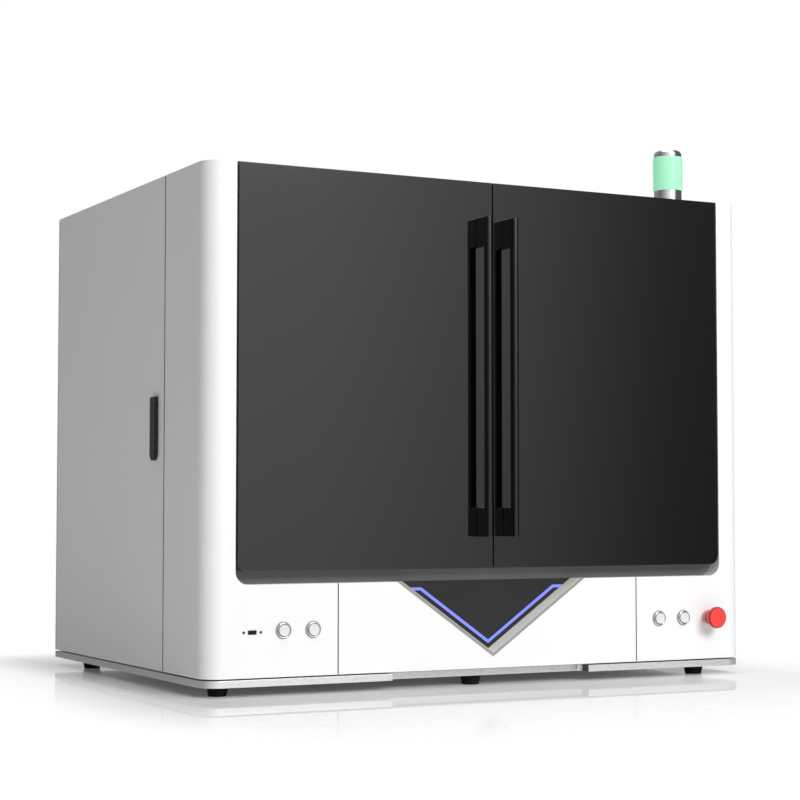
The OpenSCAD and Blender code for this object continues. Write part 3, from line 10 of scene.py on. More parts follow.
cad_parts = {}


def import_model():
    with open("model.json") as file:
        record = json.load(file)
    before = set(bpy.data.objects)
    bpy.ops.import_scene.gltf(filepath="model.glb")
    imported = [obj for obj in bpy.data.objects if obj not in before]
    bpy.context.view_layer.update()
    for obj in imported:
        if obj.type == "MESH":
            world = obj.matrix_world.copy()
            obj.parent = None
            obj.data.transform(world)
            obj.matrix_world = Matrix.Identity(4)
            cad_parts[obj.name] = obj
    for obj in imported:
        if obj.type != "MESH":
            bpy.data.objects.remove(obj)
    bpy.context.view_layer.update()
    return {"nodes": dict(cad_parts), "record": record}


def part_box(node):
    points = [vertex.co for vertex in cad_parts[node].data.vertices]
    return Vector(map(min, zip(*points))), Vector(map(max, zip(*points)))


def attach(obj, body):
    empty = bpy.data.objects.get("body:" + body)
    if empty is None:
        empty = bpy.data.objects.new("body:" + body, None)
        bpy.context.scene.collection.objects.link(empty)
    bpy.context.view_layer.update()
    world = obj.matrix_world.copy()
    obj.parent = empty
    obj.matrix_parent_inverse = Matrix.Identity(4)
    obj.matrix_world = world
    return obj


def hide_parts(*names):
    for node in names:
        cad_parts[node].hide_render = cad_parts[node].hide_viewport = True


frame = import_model()
NODES = frame["nodes"]
MM = 0.001
# The plane that the base plate, the front shells and the drawer front end in.
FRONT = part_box("base_plate")[0][1]


# ---------------------------------------------------------------- materials

# Most values of a noise texture lie between these two.
NOISE_SPAN = (0.3, 0.7)
BUMP_STRENGTH = 0.6


def new_material(name):
    """An empty node material with its output and a principled shader."""
    material = bpy.data.materials.new(name)
    material.use_nodes = True
    tree = material.node_tree
    tree.nodes.clear()
    output = tree.nodes.new("ShaderNodeOutputMaterial")
    shader = tree.nodes.new("ShaderNodeBsdfPrincipled")
    tree.links.new(shader.outputs["BSDF"], output.inputs["Surface"])
    return material, tree, shader


def object_coordinates(tree, stretch):
    """Object coordinates, stretched, so that a pattern can run along one axis."""
    coordinates = tree.nodes.new("ShaderNodeTexCoord")
    mapping = tree.nodes.new("ShaderNodeMapping")
    mapping.inputs["Scale"].default_value = stretch
    tree.links.new(coordinates.outputs["Object"], mapping.inputs["Vector"])
    return mapping.outputs["Vector"]


def noise(tree, vector, scale, detail):
    """A noise texture's value. Its detail is how many finer octaves it adds."""
    node = tree.nodes.new("ShaderNodeTexNoise")
    node.inputs["Scale"].default_value = scale
    node.inputs["Detail"].default_value = detail
    tree.links.new(vector, node.inputs["Vector"])
    return node.outputs["Fac"]


def spread(tree, value, low, high):
    """Maps a noise value onto a range."""
    node = tree.nodes.new("ShaderNodeMapRange")
    node.inputs["From Min"].default_value, node.inputs["From Max"].default_value = NOISE_SPAN
    node.inputs["To Min"].default_value = low
    node.inputs["To Max"].default_value = high
    tree.links.new(value, node.inputs["Value"])
    return node.outputs["Result"]


def surface(name, color, rough, metal=0.0, tint=0.03, rough_spread=0.05, patch=6.0, grain=1800.0,
            grain_depth=0.00002, stretch=(1.0, 1.0, 1.0), specular=0.5, coat=0.0, glow=None):
    """A finish. A broad noise of scale patch tints the colour, and a fine one of scale grain varies the
    roughness and raises the surface by grain_depth metres."""
    material, tree, shader = new_material(name)
    vector = object_coordinates(tree, stretch)
    broad = noise(tree, vector, patch, detail=3.0)
    mix = tree.nodes.new("ShaderNodeMix")
    mix.data_type = "RGBA"
    mix.inputs["A"].default_value = (*[c * (1 - tint) for c in color], 1)
    mix.inputs["B"].default_value = (*[min(1, c * (1 + tint)) for c in color], 1)
    tree.links.new(spread(tree, broad, 0, 1), mix.inputs["Factor"])
    tree.links.new(mix.outputs["Result"], shader.inputs["Base Color"])
    fine = noise(tree, vector, grain, detail=2.0)
    tree.links.new(spread(tree, fine, rough - rough_spread, rough + rough_spread), shader.inputs["Roughness"])
    bump = tree.nodes.new("ShaderNodeBump")
    bump.inputs["Strength"].default_value = BUMP_STRENGTH
    bump.inputs["Distance"].default_value = grain_depth
    tree.links.new(fine, bump.inputs["Height"])
    tree.links.new(bump.outputs["Normal"], shader.inputs["Normal"])
    shader.inputs["Metallic"].default_value = metal
    shader.inputs["Specular IOR Level"].default_value = specular
    shader.inputs["Coat Weight"].default_value = coat
    if glow:
        shader.inputs["Emission Color"].default_value = (*glow, 1)
        shader.inputs["Emission Strength"].default_value = 1.0
    return material


FINISH = {
    "white_paint": surface("white_powder_coat", (0.80, 0.80, 0.81), 0.42, tint=0.006, patch=3, grain=1400,
                           grain_depth=0.00003),
    "dark_paint": surface("dark_powder_coat", (0.055, 0.055, 0.058), 0.5, tint=0.08, grain=1500,
                          grain_depth=0.00004),
    "brushed_aluminium": surface("brushed_aluminium", (0.70, 0.705, 0.715), 0.34, metal=0.65, tint=0.05,
                                 rough_spread=0.10, patch=30, grain=70, grain_depth=0.00001,
                                 stretch=(1.0, 60.0, 60.0)),
    "machined_aluminium": surface("machined_aluminium", (0.62, 0.63, 0.65), 0.38, metal=1.0, tint=0.04,
                                  rough_spread=0.08, patch=20, grain=90, stretch=(1.0, 30.0, 30.0)),
    "bare_steel": surface("ground_steel", (0.50, 0.505, 0.515), 0.32, metal=1.0, tint=0.08, rough_spread=0.10,
                          patch=25, grain=120, stretch=(30.0, 1.0, 30.0)),
    "liner_steel": surface("satin_sheet_steel", (0.56, 0.57, 0.58), 0.40, metal=1.0, tint=0.05,
                           rough_spread=0.07, patch=8, grain=200, stretch=(1.0, 1.0, 25.0)),
    "chrome": surface("polished_chrome", (0.70, 0.70, 0.71), 0.13, metal=1.0, tint=0.02, rough_spread=0.03,
                      patch=40, grain=600, grain_depth=0.000004),
    "black_gloss": surface("black_door_glass", (0.001, 0.001, 0.0011), 0.06, tint=0.1, rough_spread=0.01,
                           patch=2, grain=400, grain_depth=0.0000004, specular=1.0),
    "black_metal": surface("black_handle_paint", (0.003, 0.003, 0.0032), 0.28, tint=0.1, rough_spread=0.04,
                           grain=1600, grain_depth=0.00001, specular=0.5),
    "black_rubber": surface("black_rubber", (0.006, 0.006, 0.006), 0.7, tint=0.2, patch=60, grain=1200,
                            grain_depth=0.00006, specular=0.12),
    "black_plastic": surface("black_moulded_plastic", (0.02, 0.02, 0.021), 0.48, tint=0.1, grain=2200,
                             grain_depth=0.00004),
    "green_lens": surface("green_lens", (0.26, 0.50, 0.36), 0.22, tint=0.03, patch=40, grain=500,
                          grain_depth=0.00001, specular=0.3, glow=(0.14, 0.40, 0.24)),
    "red_plastic": surface("red_plastic", (0.84, 0.055, 0.05), 0.26, tint=0.04, patch=60, grain=1500,
                           grain_depth=0.000015),
    # A darker red for the emergency stop's rim: painted shade on its turned edge.
    "rim_red_painted_shade": surface("dark_red_rim_painted_shade", (0.20, 0.012, 0.012), 0.35, tint=0.04, patch=60, grain=1500,
                        grain_depth=0.000015),
    # A paler red for the emergency stop's neck and collar: painted light on their shade.
    "neck_red_painted_light": surface("pale_red_neck_painted_light", (0.62, 0.24, 0.23), 0.40, tint=0.04, patch=60, grain=1500,
                          grain_depth=0.000015),
    "satin_trim": surface("satin_brushed_trim", (0.66, 0.655, 0.58), 0.55, tint=0.05, patch=60, grain=90,
                          grain_depth=0.00001, stretch=(1.0, 40.0, 40.0), specular=0.3),
    # A darker finish for the emblem trim's front faces: a painted dark reflection.
    "trim_front_painted_shade": surface("trim_front_painted_dark_reflection", (0.31, 0.31, 0.30), 0.4, metal=0.3, tint=0.05, patch=60,
                         grain=90, grain_depth=0.00001, stretch=(1.0, 40.0, 40.0), specular=0.3),
    # A dark finish for the end wall of the base plate's notch: painted shade.
    "notch_end_painted_shade": surface("notch_wall_painted_shade_dark", (0.10, 0.10, 0.10), 0.45, metal=0.3, tint=0.1, patch=80,
                           grain=90, stretch=(1.0, 40.0, 1.0), specular=0.3),
    # A paler grey than the dark paint for the door surround: painted light on the shaded band below the
    # doors.
    "surround_grey_painted_light": surface("door_surround_grey_painted_light", (0.155, 0.155, 0.158), 0.5, tint=0.06, grain=1500,
                              grain_depth=0.00004),
    "ring_steel": surface("polished_ring_steel", (0.52, 0.52, 0.53), 0.20, metal=1.0, tint=0.02,
                          rough_spread=0.03, patch=40, grain=600, grain_depth=0.000004),
    "pale_cap": surface("pale_button_cap", (0.69, 0.69, 0.70), 0.28, tint=0.02, patch=90, grain=2000,
                        grain_depth=0.00001, coat=0.3),
    "dark_panel": surface("dark_emblem_panel", (0.017, 0.017, 0.018), 0.38, tint=0.06, patch=15, grain=1600,
                          grain_depth=0.00003, specular=0.3),
    "blue_light": surface("blue_light_guide", (0.03, 0.04, 0.25), 0.3, tint=0.02, patch=30, grain=800,
                          specular=0.2, glow=(0.24, 0.29, 1.0)),
    "controller_case": surface("green_controller_case", (0.03, 0.12, 0.075), 0.45, tint=0.06, grain=1800,
                               grain_depth=0.00004),
    "head_metal": surface("black_anodised_metal", (0.03, 0.03, 0.033), 0.33, metal=0.6, tint=0.08, grain=900),
    "copper_alloy": surface("turned_brass", (0.60, 0.38, 0.15), 0.28, metal=1.0, tint=0.05, rough_spread=0.08,
                            patch=60, grain=150, stretch=(1.0, 1.0, 12.0)),
}


# Nodes whose look differs from the usual one of their material slot. The door surround's paler grey and the
# emergency stop collar's paler red are painted light.
OWN_FINISH = {"emblem_trim": "satin_trim", "door_surround": "surround_grey_painted_light", "estop_collar": "neck_red_painted_light"}
# A face looks along an axis when this much of its normal lies on it.
FACING = 0.9
# Depth of the emergency stop's head in front of its neck, whose paler red is painted light, and half of the
# width that the base plate's notch lies in, whose end wall gets a dark finish as painted shade.
ESTOP_HEAD_DEPTH = 8.5 * MM
NOTCH_REACH = 400 * MM


def dress_nodes():
    """Gives every CAD node the finish of its material slot, or its own, and paints light or shade on some
    faces with a second finish.
    """
    for part in frame["record"]["subparts"]:
        node = NODES[part["node"]]
        node.data.materials.clear()
        node.data.materials.append(FINISH[OWN_FINISH.get(part["node"], part["material_slot"])])
    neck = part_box("estop_head")[0][1] + ESTOP_HEAD_DEPTH
    # The trim's front faces get the darker finish: a painted dark reflection.
    second_finish("emblem_trim", "trim_front_painted_shade", lambda centre, normal: normal.y < -FACING)
    # The neck's rear faces get the paler red: painted light on the shaded neck.
    second_finish("estop_head", "neck_red_painted_light", lambda centre, normal: centre.y > neck)
    # The notch's end wall gets the dark finish: painted shade.
    second_finish("base_plate", "notch_end_painted_shade",
                  lambda centre, normal: normal.x < -FACING and abs(centre.x) < NOTCH_REACH)


def second_finish(name, finish, chosen):
    """Gives the faces that a test picks, by their centre and normal in the world, another finish."""
    node = NODES[name]
    node.data.materials.append(FINISH[finish])
    turn = node.matrix_world.to_3x3().normalized()
    for polygon in node.data.polygons:
        if chosen(node.matrix_world @ polygon.center, turn @ polygon.normal):
            polygon.material_index = len(node.data.materials) - 1


# ---------------------------------------------------------------- edges

# Points closer than this are one, faces within this angle are one face, and only edges sharper than this one
# are broken.
WELD_GAP = 0.005 * MM
FLAT_ANGLE = math.radians(0.5)
SHARP_ANGLE = math.radians(30)


def round_edges(names, width):
    """Breaks the sharp edges of CAD nodes with a small bevel, by modifiers alone."""
    for name in names:
        node = NODES[name]
        if "custom_normal" in node.data.attributes:
            node.data.attributes.remove(node.data.attributes["custom_normal"])
        for polygon in node.data.polygons:
            polygon.use_smooth = True
        weld = node.modifiers.new("weld", "WELD")
        weld.merge_threshold = WELD_GAP
        flat = node.modifiers.new("flat", "DECIMATE")
        flat.decimate_type = "DISSOLVE"
        flat.angle_limit = FLAT_ANGLE
        bevel = node.modifiers.new("bevel", "BEVEL")
        bevel.width = width
        bevel.segments = 2
        bevel.limit_method = "ANGLE"
        bevel.angle_limit = SHARP_ANGLE
        bevel.miter_outer = "MITER_ARC"
        normals = node.modifiers.new("normals", "WEIGHTED_NORMAL")
        normals.mode = "FACE_AREA"
        normals.weight = 80


# Width of the bevel in millimetres, and the nodes that get it. The rear panel, the side beams, the gantry
# beam and the laser source keep their sharp edges, because the modifiers break their pierced faces.
EDGES = {
    0.3: ["front_shell_left", "front_shell_right", "drawer_front", "left_side_door", "right_side_door"],
    0.6: ["top_cover"],
    0.8: ["base_plate", "left_door_glass", "right_door_glass", "left_latch", "right_latch", "exhaust_duct",
          "cutting_head", "motion_controller", "carriage"],
    1.2: ["left_handle", "right_handle", "feet"],
    0.4: ["left_door_frame", "right_door_frame", "emblem_trim", "emblem_panel", "estop_collar", "lamp_base",
          "lamp_cap", "lamp_lens", "mains_inlet", "data_socket", "power_supply", "gas_fitting",
          "power_switch", "fan_housing", "fan_rotor"],
    0.25: ["push_button_1", "push_button_2", "push_button_3", "push_button_4", "emblem_light", "estop_head"],
}


# ---------------------------------------------------------------- mesh helpers

def piece(name, mesh, slot, body, finish=None):
    """Links a finished mesh as a piece of the object and makes it ride on a body."""
    made = bpy.data.objects.new(name, mesh)
    bpy.context.scene.collection.objects.link(made)
    mesh.materials.append(FINISH[finish or slot])
    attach(made, body)
    return made


def lathe(profile, steps, ring=False):
    """A turned form about Z as a bmesh, from (radius, height) points. A ring's profile closes on itself."""
    work = bmesh.new()
    loops = []
    for radius, height in profile:
        if radius == 0:
            loops.append([work.verts.new((0, 0, height))])
        else:
            loops.append([
                work.verts.new((radius * math.cos(2 * math.pi * i / steps),
                                radius * math.sin(2 * math.pi * i / steps), height))
                for i in range(steps)
            ])
    for low, high in zip(loops, loops[1:] + loops[:1] if ring else loops[1:]):
        for i in range(steps):
            j = (i + 1) % steps
            quad = [low[i % len(low)], low[j % len(low)], high[j % len(high)], high[i % len(high)]]
            kept = [vertex for place, vertex in enumerate(quad) if vertex not in quad[:place]]
            if len(kept) > 2:
                work.faces.new(kept)
    bmesh.ops.recalc_face_normals(work, faces=work.faces)
    for face in work.faces:
        face.smooth = True
    return work


def upright_bar(work, outline, low, high):
    """Adds an upright bar to a bmesh, from its (x, y) outline and its two heights."""
    rings = [[work.verts.new((x, y, z)) for x, y in outline] for z in (low, high)]
    for i in range(len(outline)):
        j = (i + 1) % len(outline)
        work.faces.new([rings[0][i], rings[0][j], rings[1][j], rings[1][i]])
    work.faces.new(rings[0])
    work.faces.new(rings[1])
    bmesh.ops.recalc_face_normals(work, faces=work.faces)


def to_mesh(work, name):
    """Turns a bmesh into a mesh and frees it."""
    mesh = bpy.data.meshes.new(name)
    work.to_mesh(mesh)
    work.free()
    return mesh


def copies(work, places):
    """One mesh with a copy of the bmesh at each matrix."""
    source = bpy.data.meshes.new("source")
    work.to_mesh(source)
    work.free()
    joined = bmesh.new()
    for matrix in places:
        mesh = source.copy()
        mesh.transform(matrix)
        joined.from_mesh(mesh)
        bpy.data.meshes.remove(mesh)
    bpy.data.meshes.remove(source)
    return joined


# ---------------------------------------------------------------- screws

def cap_screw(radius, height):
    """Head of a socket screw, with its hexagonal socket and a broken edge. It stands on z = 0."""
    socket = radius / 2
    work = lathe([(radius, 0), (radius, height * 0.75), (radius * 0.9, height), (socket, height),
                  (socket, height * 0.35), (0, height * 0.3)], 24)
    sixth = math.pi / 3
    for vertex in work.verts:
        if 0 < math.hypot(vertex.co.x, vertex.co.y) < socket * 1.2:
            turn = math.atan2(vertex.co.y, vertex.co.x) % sixth - sixth / 2
            flat = math.cos(sixth / 2) / math.cos(turn)
            vertex.co.x *= flat
            vertex.co.y *= flat
    return work


def facing(point, direction):
    """Placement that turns +Z to a direction at a point."""
    turn = Vector((0, 0, 1)).rotation_difference(Vector(direction)).to_matrix().to_4x4()
    return Matrix.Translation(Vector(point)) @ turn


def screws(name, body, points, direction, radius=3.5 * MM, height=2.2 * MM, slot="bare_steel"):
    """One piece with a screw head at each point, all facing the same way."""
    spots = [facing(point, direction) for point in points]
    return piece(name, to_mesh(copies(cap_screw(radius, height), spots), name), slot, body)


def corners(name):
    """Lowest and highest corner of a CAD node's box, as vectors."""
    low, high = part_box(name)
    return Vector(low), Vector(high)


def row(start, end, count):
    """Evenly spaced numbers from one end to the other."""
    return [start + (end - start) * i / (count - 1) for i in range(count)]


def grid(across, up):
    """Pairs of numbers, one from each list."""
    return [(a, b) for a in across for b in up]


def rear_panel_screws():
    """Screws round the edge of the rear panel."""
    low, high = corners("rear_panel")
    inset = 11 * MM
    xs = row(low.x + inset, high.x - inset, 7)
    zs = row(low.z + inset, high.z - inset, 6)
    spots = [(x, high.y, z) for x, z in grid(xs, (zs[0], zs[-1])) + grid((xs[0], xs[-1]), zs[1:-1])]
    screws("rear_panel_screws", "cabinet", spots, (0, 1, 0))


def top_cover_screws():
    """Screws along the sides, the rear edge and the front edge of the top cover."""
    low, high = corners("top_cover")
    inset, front_inset, front_reach, door_inset = 12 * MM, 16 * MM, 430 * MM, 14 * MM
    sides = (low.x + inset, high.x - inset)
    door_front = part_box("left_side_door")[0][1]
    ys = row(door_front + door_inset, high.y - inset, 4)
    spots = [(x, y, high.z) for y in ys for x in sides]
    spots += [(x, ys[-1], high.z) for x in row(*sides, 7)[1:-1]]
    spots += [(x, low.y + front_inset, high.z) for x in row(-front_reach, front_reach, 5)]
    screws("top_cover_screws", "cabinet", spots, (0, 0, 1), slot="chrome")


def flange_screws():
    """Screws on a circle in the exhaust duct's flange, which lies on the rear panel."""
    inset, thickness = 6 * MM, 3 * MM
    low, high = corners("exhaust_duct")
    middle = (low + high) / 2
    reach = (high.x - low.x) / 2 - inset
    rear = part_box("rear_panel")[1][1] + thickness
    turns = row(math.radians(30), math.radians(330), 6)
    spots = [(middle.x + reach * math.cos(turn), rear, middle.z + reach * math.sin(turn)) for turn in turns]
    screws("flange_screws", "cabinet", spots, (0, 1, 0), radius=2.6 * MM, height=1.8 * MM)


def fan_screws():
    """Screws that hold the fan to the rear panel, at the corners of its housing."""
    low, high = corners("fan_housing")
    inset = 9 * MM
    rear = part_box("rear_panel")[1][1]
    spots = [(x, rear, z) for x, z in grid((low.x + inset, high.x - inset), (low.z + inset, high.z - inset))]
    screws("fan_screws", "cabinet", spots, (0, 1, 0), radius=3.2 * MM)


def plugs(name, body, points, direction):
    """Thin plugs that close the screw holes of a guide rail."""
    radius, rise = 4.5 * MM, 0.15 * MM
    plug = lathe([(radius, -rise), (radius, rise * 0.6), (radius * 0.9, rise), (0, rise)], 20)
    spots = [facing(point, direction) for point in points]
    piece(name, to_mesh(copies(plug, spots), name), "black_plastic", body)


def rail_plugs():
    """Plugs along the guide rails of the side beams and of the gantry."""
    half_rail, end = 10 * MM, 20 * MM
    low, high = corners("side_rails")
    middle = high.x - half_rail
    spots = [(x, y, high.z) for x, y in grid((-middle, middle), row(low.y + end, high.y - end, 9))]
    plugs("side_rail_plugs", "cabinet", spots, (0, 0, 1))
    low, high = corners("gantry_rails")
    xs = row(low.x + end, high.x - end, 14)
    spots = [(x, low.y, z) for x, z in grid(xs, (low.z + half_rail, high.z - half_rail))]
    plugs("gantry_rail_plugs", "gantry", spots, (0, -1, 0))


def chamber_screws():
    """Screws on the carriage plate, the bed frame's corners and the chamber's rear wall."""
    low, high = corners("carriage")
    inset_x, inset_z = 7 * MM, 12 * MM
    places = grid((low.x + inset_x, high.x - inset_x), (low.z + inset_z, high.z - inset_z))
    spots = [(x, low.y, z) for x, z in places]
    screws("carriage_screws", "carriage", spots, (0, -1, 0), radius=4 * MM, height=3 * MM)
    low, high = corners("bed_frame")
    inset = 14 * MM
    places = grid((low.x + inset, high.x - inset), (low.y + inset, high.y - inset))
    spots = [(x, y, high.z) for x, y in places]
    screws("bed_screws", "cabinet", spots, (0, 0, 1), radius=4 * MM, height=3 * MM)
    low, high = corners("chamber_liner")
    wall, inset = 2 * MM, 40 * MM
    spots = [(x, high.y - wall, high.z - inset) for x in row(low.x + inset, high.x - inset, 7)]
    screws("liner_screws", "cabinet", spots, (0, -1, 0), radius=3 * MM, height=1.6 * MM)


def socket_screws():
    """Black screws on both sides of the data socket."""
    inset = 3 * MM
    low, high = corners("data_socket")
    middle = (low + high) / 2
    reach = (high.x - low.x) / 2 - inset
    spots = [(middle.x + side * reach, FRONT, middle.z) for side in (-1, 1)]
    screws("data_socket_screws", "cabinet", spots, (0, -1, 0), radius=2.2 * MM, height=1.0 * MM,
           slot="black_metal")


# ---------------------------------------------------------------- controls and seals

def scaled(profile):
    """A profile given in millimetres, in metres."""
    return [(radius * MM, height * MM) for radius, height in profile]


def button_rings():
    """Rounded bright rings of the push buttons, each on a thin black gasket, with its barrel behind."""
    bore, barrel = 10.1, 11.0
    tail = (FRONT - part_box("button_bezels")[1][1]) / MM
    ring = [(bore, tail), (barrel, tail), (barrel, 0), (13.5, 0.5), (13.6, 1.2), (13.35, 2.4), (12.8, 3.5),
            (12.1, 4.2), (11.5, 4.5), (10.9, 4.3), (10.35, 3.7), (bore, 2.9)]
    gasket = [(12.0, 0.02), (14.0, 0.02), (14.0, 0.5), (12.0, 0.5)]
    spots = []
    for number in range(1, 5):
        low, high = corners("push_button_%d" % number)
        middle = (low + high) / 2
        spots.append(facing((middle.x, FRONT, middle.z), (0, -1, 0)))
    made = to_mesh(copies(lathe(scaled(ring), 64, ring=True), spots), "button_rings")
    rings = piece("button_rings", made, "chrome", "cabinet", "ring_steel")
    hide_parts("button_bezels")
    made = to_mesh(copies(lathe(scaled(gasket), 64, ring=True), spots), "button_gaskets")
    piece("button_gaskets", made, "black_rubber", "cabinet")


def estop_rim():
    """Rim round the face of the emergency stop's head, in a darker red that paints the shade of its turned
    edge.
    """
    low, high = corners("estop_head")
    middle = (low + high) / 2
    rim = [(17.5, -1.2), (17.7, -0.42), (18.2, -0.62), (19.5, -2.6), (19.5, -3.6), (18.9, -3.6)]
    spot = facing((middle.x, low.y, middle.z), (0, -1, 0))
    made = to_mesh(copies(lathe(scaled(rim), 72, ring=True), [spot]), "estop_rim")
    piece("estop_rim", made, "red_plastic", "estop_head", "rim_red_painted_shade")


# How far a seal's lip reaches over the edges of its seam, and the heights that it lies between. The lips are
# thin black strips on the faces beside the seam: painted shade that widens its dark line.
SHADE_STRIP_REACH = 0.38 * MM
SHADE_STRIP_HEIGHTS = (0.02 * MM, 0.09 * MM)
# Gap between a seal and the edge that carries it.
SEAL_FIT = 0.02 * MM
# The seals end this far inside both ends of their seams.
SEAL_END = 1 * MM


def seal_section(carrier, other, gap, depth):
    """T-shaped section across a seam, as (place across it, height above the face). It is made from the edge
    that carries the seal, the other edge, the gap left beside that one, and the seal's depth in the seam."""
    way = math.copysign(1, other - carrier)
    near, far = carrier + way * SEAL_FIT, other - way * gap
    # The lips lie on the faces beside the seam as painted shade.
    near_shade_strip, far_shade_strip = carrier - way * SHADE_STRIP_REACH, other + way * SHADE_STRIP_REACH
    under, top = SHADE_STRIP_HEIGHTS
    return [(near, -depth), (far, -depth), (far, under), (far_shade_strip, under), (far_shade_strip, top), (near_shade_strip, top),
            (near_shade_strip, under), (near, under)]


def seam_seals_and_shade_strips():
    """Black seals in the upright seams, each with a thin lip over both edges of its seam; the lips are
    painted shade that widens the seam's dark line. They ride the drawer and the side doors, which all leave
    their seams outwards."""
    low, high = corners("drawer_front")
    section = seal_section(high.x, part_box("front_shell_right")[0][0], gap=0.1 * MM, depth=8 * MM)
    work = bmesh.new()
    for side in (-1, 1):
        outline = [(side * across, FRONT - height) for across, height in section]
        upright_bar(work, outline, low.z + SEAL_END, high.z - SEAL_END)
    piece("drawer_seals_and_shade_strips", to_mesh(work, "drawer_seals_and_shade_strips"), "black_rubber", "scrap_drawer")
    for side, hand in ((-1, "left"), (1, "right")):
        door = hand + "_side_door"
        low, high = corners(door)
        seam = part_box("front_shell_" + hand)[1][1]
        face = max(abs(low.x), abs(high.x))
        section = seal_section(low.y, seam, gap=0.2 * MM, depth=10 * MM)
        work = bmesh.new()
        outline = [(side * (face + height), across) for across, height in section]
        upright_bar(work, outline, low.z + SEAL_END, high.z - SEAL_END)
        piece(door + "_seal", to_mesh(work, door + "_seal"), "black_rubber", door)


# ---------------------------------------------------------------- camera and lights

CAMERA_PLACE = (-1.7353, FRONT - 2.97455, 0.3113)
# Degrees that the camera looks up, and that it is turned to the right.
CAMERA_RISE = 3.097
CAMERA_TURN = 27.554
LENS_MM = 88.38


def camera():
    """The photograph's viewpoint: to the left of the front, as high as the lower part of the doors."""
    data = bpy.data.cameras.new("camera")
    data.sensor_width = 36.0
    data.lens = LENS_MM
    data.clip_end = 60.0
    made = bpy.data.objects.new("camera", data)
    made.location = CAMERA_PLACE
    made.rotation_euler = (math.radians(90 + CAMERA_RISE), 0, math.radians(-CAMERA_TURN))
    bpy.context.scene.collection.objects.link(made)
    bpy.context.scene.camera = made


def soft_box(name, location, target, size, power):
    """A rectangular area light that faces a point."""
    data = bpy.data.lights.new(name, "AREA")
    data.shape = "RECTANGLE"
    data.size, data.size_y = size
    data.energy = power
    made = bpy.data.objects.new(name, data)
    made.location = location
    made.rotation_euler = (Vector(target) - Vector(location)).to_track_quat("-Z", "Y").to_euler()
    bpy.context.scene.collection.objects.link(made)


# ---------------------------------------------------------------- backdrop and floor

# How bright the studio's walls look in gloss, by the angle round the object: 0 is in front, +90 to its right.
STUDIO_WALLS = [(-180, 0.25), (-150, 0.25), (-118, 0.22), (-97, 0.15), (-60, 0.40), (-25, 0.9), (10, 1.0),
                (21, 0.86), (25.6, 0.80), (31.4, 0.48), (35, 0.20), (38, 0.12), (100, 0.10), (128, 0.16),
                (140, 0.95), (166, 0.95), (176, 0.25)]
# In gloss the walls grow brighter from below the horizon to above it: slope of the ray, and brightness.
WALL_RISE = ((-0.10, 0.75), (0.25, 1.28))
# Strength of the background as a light. The rays that see it directly see it at full strength.
AMBIENT = 0.26
# Colour of the floor's matt base, and roughness of its gloss.
FLOOR_WHITE = (0.92, 0.92, 0.92, 1)
FLOOR_ROUGHNESS = 0.03
# Distance from the machine over which the floor opens on the backdrop, with its shares there.
FLOOR_FADE = ((0.0, 0.08), (0.85, 1.0))
# Distance over which the floor's mirror image fades, with its share near the machine and away from it.
MIRROR_FADE = ((0.12, 0.42), (0.75, 0.0))
# Half of the width and depth that the machine covers, as far as those distances go.
FOOTPRINT = (0.54, 0.39)
# How much faster the mirror image and the floor fade beside the machine than in front of it, and how much
# faster both fade behind it.
MIRROR_SIDE_FADE = 2.5
FLOOR_SIDE_FADE = 6.0
REAR_FADE = 2.5


def maths(tree, operation, *values):
    """A math node fed with sockets or numbers."""
    node = tree.nodes.new("ShaderNodeMath")
    node.operation = operation
    for socket, value in zip(node.inputs, values):
        if isinstance(value, (int, float)):
            socket.default_value = value
        else:
            tree.links.new(value, socket)
    return node.outputs[0]


def ramped(tree, value, start, end, smooth=False):
    """Maps a value linearly or smoothly between two (input, output) points, and holds it beyond them."""
    node = tree.nodes.new("ShaderNodeMapRange")
    node.interpolation_type = "SMOOTHSTEP" if smooth else "LINEAR"
    node.inputs["From Min"].default_value, node.inputs["To Min"].default_value = start
    node.inputs["From Max"].default_value, node.inputs["To Max"].default_value = end
    tree.links.new(value, node.inputs["Value"])
    return node.outputs["Result"]


def seen_rays(tree):
    """1 for camera, glossy and transmission rays, which see the background directly, and 0 for the rest."""
    path = tree.nodes.new("ShaderNodeLightPath")
    seen = maths(tree, "MAXIMUM", path.outputs["Is Camera Ray"], path.outputs["Is Glossy Ray"])
    return maths(tree, "MAXIMUM", seen, path.outputs["Is Transmission Ray"])


def wall_brightness(tree, direction):
    """Brightness of the studio's walls, by the azimuth of a direction."""
    azimuth = maths(tree, "ARCTAN2", direction.outputs["X"],
                    maths(tree, "MULTIPLY", direction.outputs["Y"], -1.0))
    turn = ramped(tree, azimuth, (-math.pi, 0), (math.pi, 1))
    walls = tree.nodes.new("ShaderNodeValToRGB")
    walls.color_ramp.interpolation = "LINEAR"
    stops = walls.color_ramp.elements
    first = STUDIO_WALLS[0][1]
    for stop, position in zip(stops, (0.0, 1.0)):
        stop.position, stop.color = position, (first, first, first, 1)
    for degrees, value in STUDIO_WALLS[1:]:
        stops.new(degrees / 360 + 0.5).color = (value, value, value, 1)
    tree.links.new(turn, walls.inputs["Fac"])
    return walls.outputs["Color"]


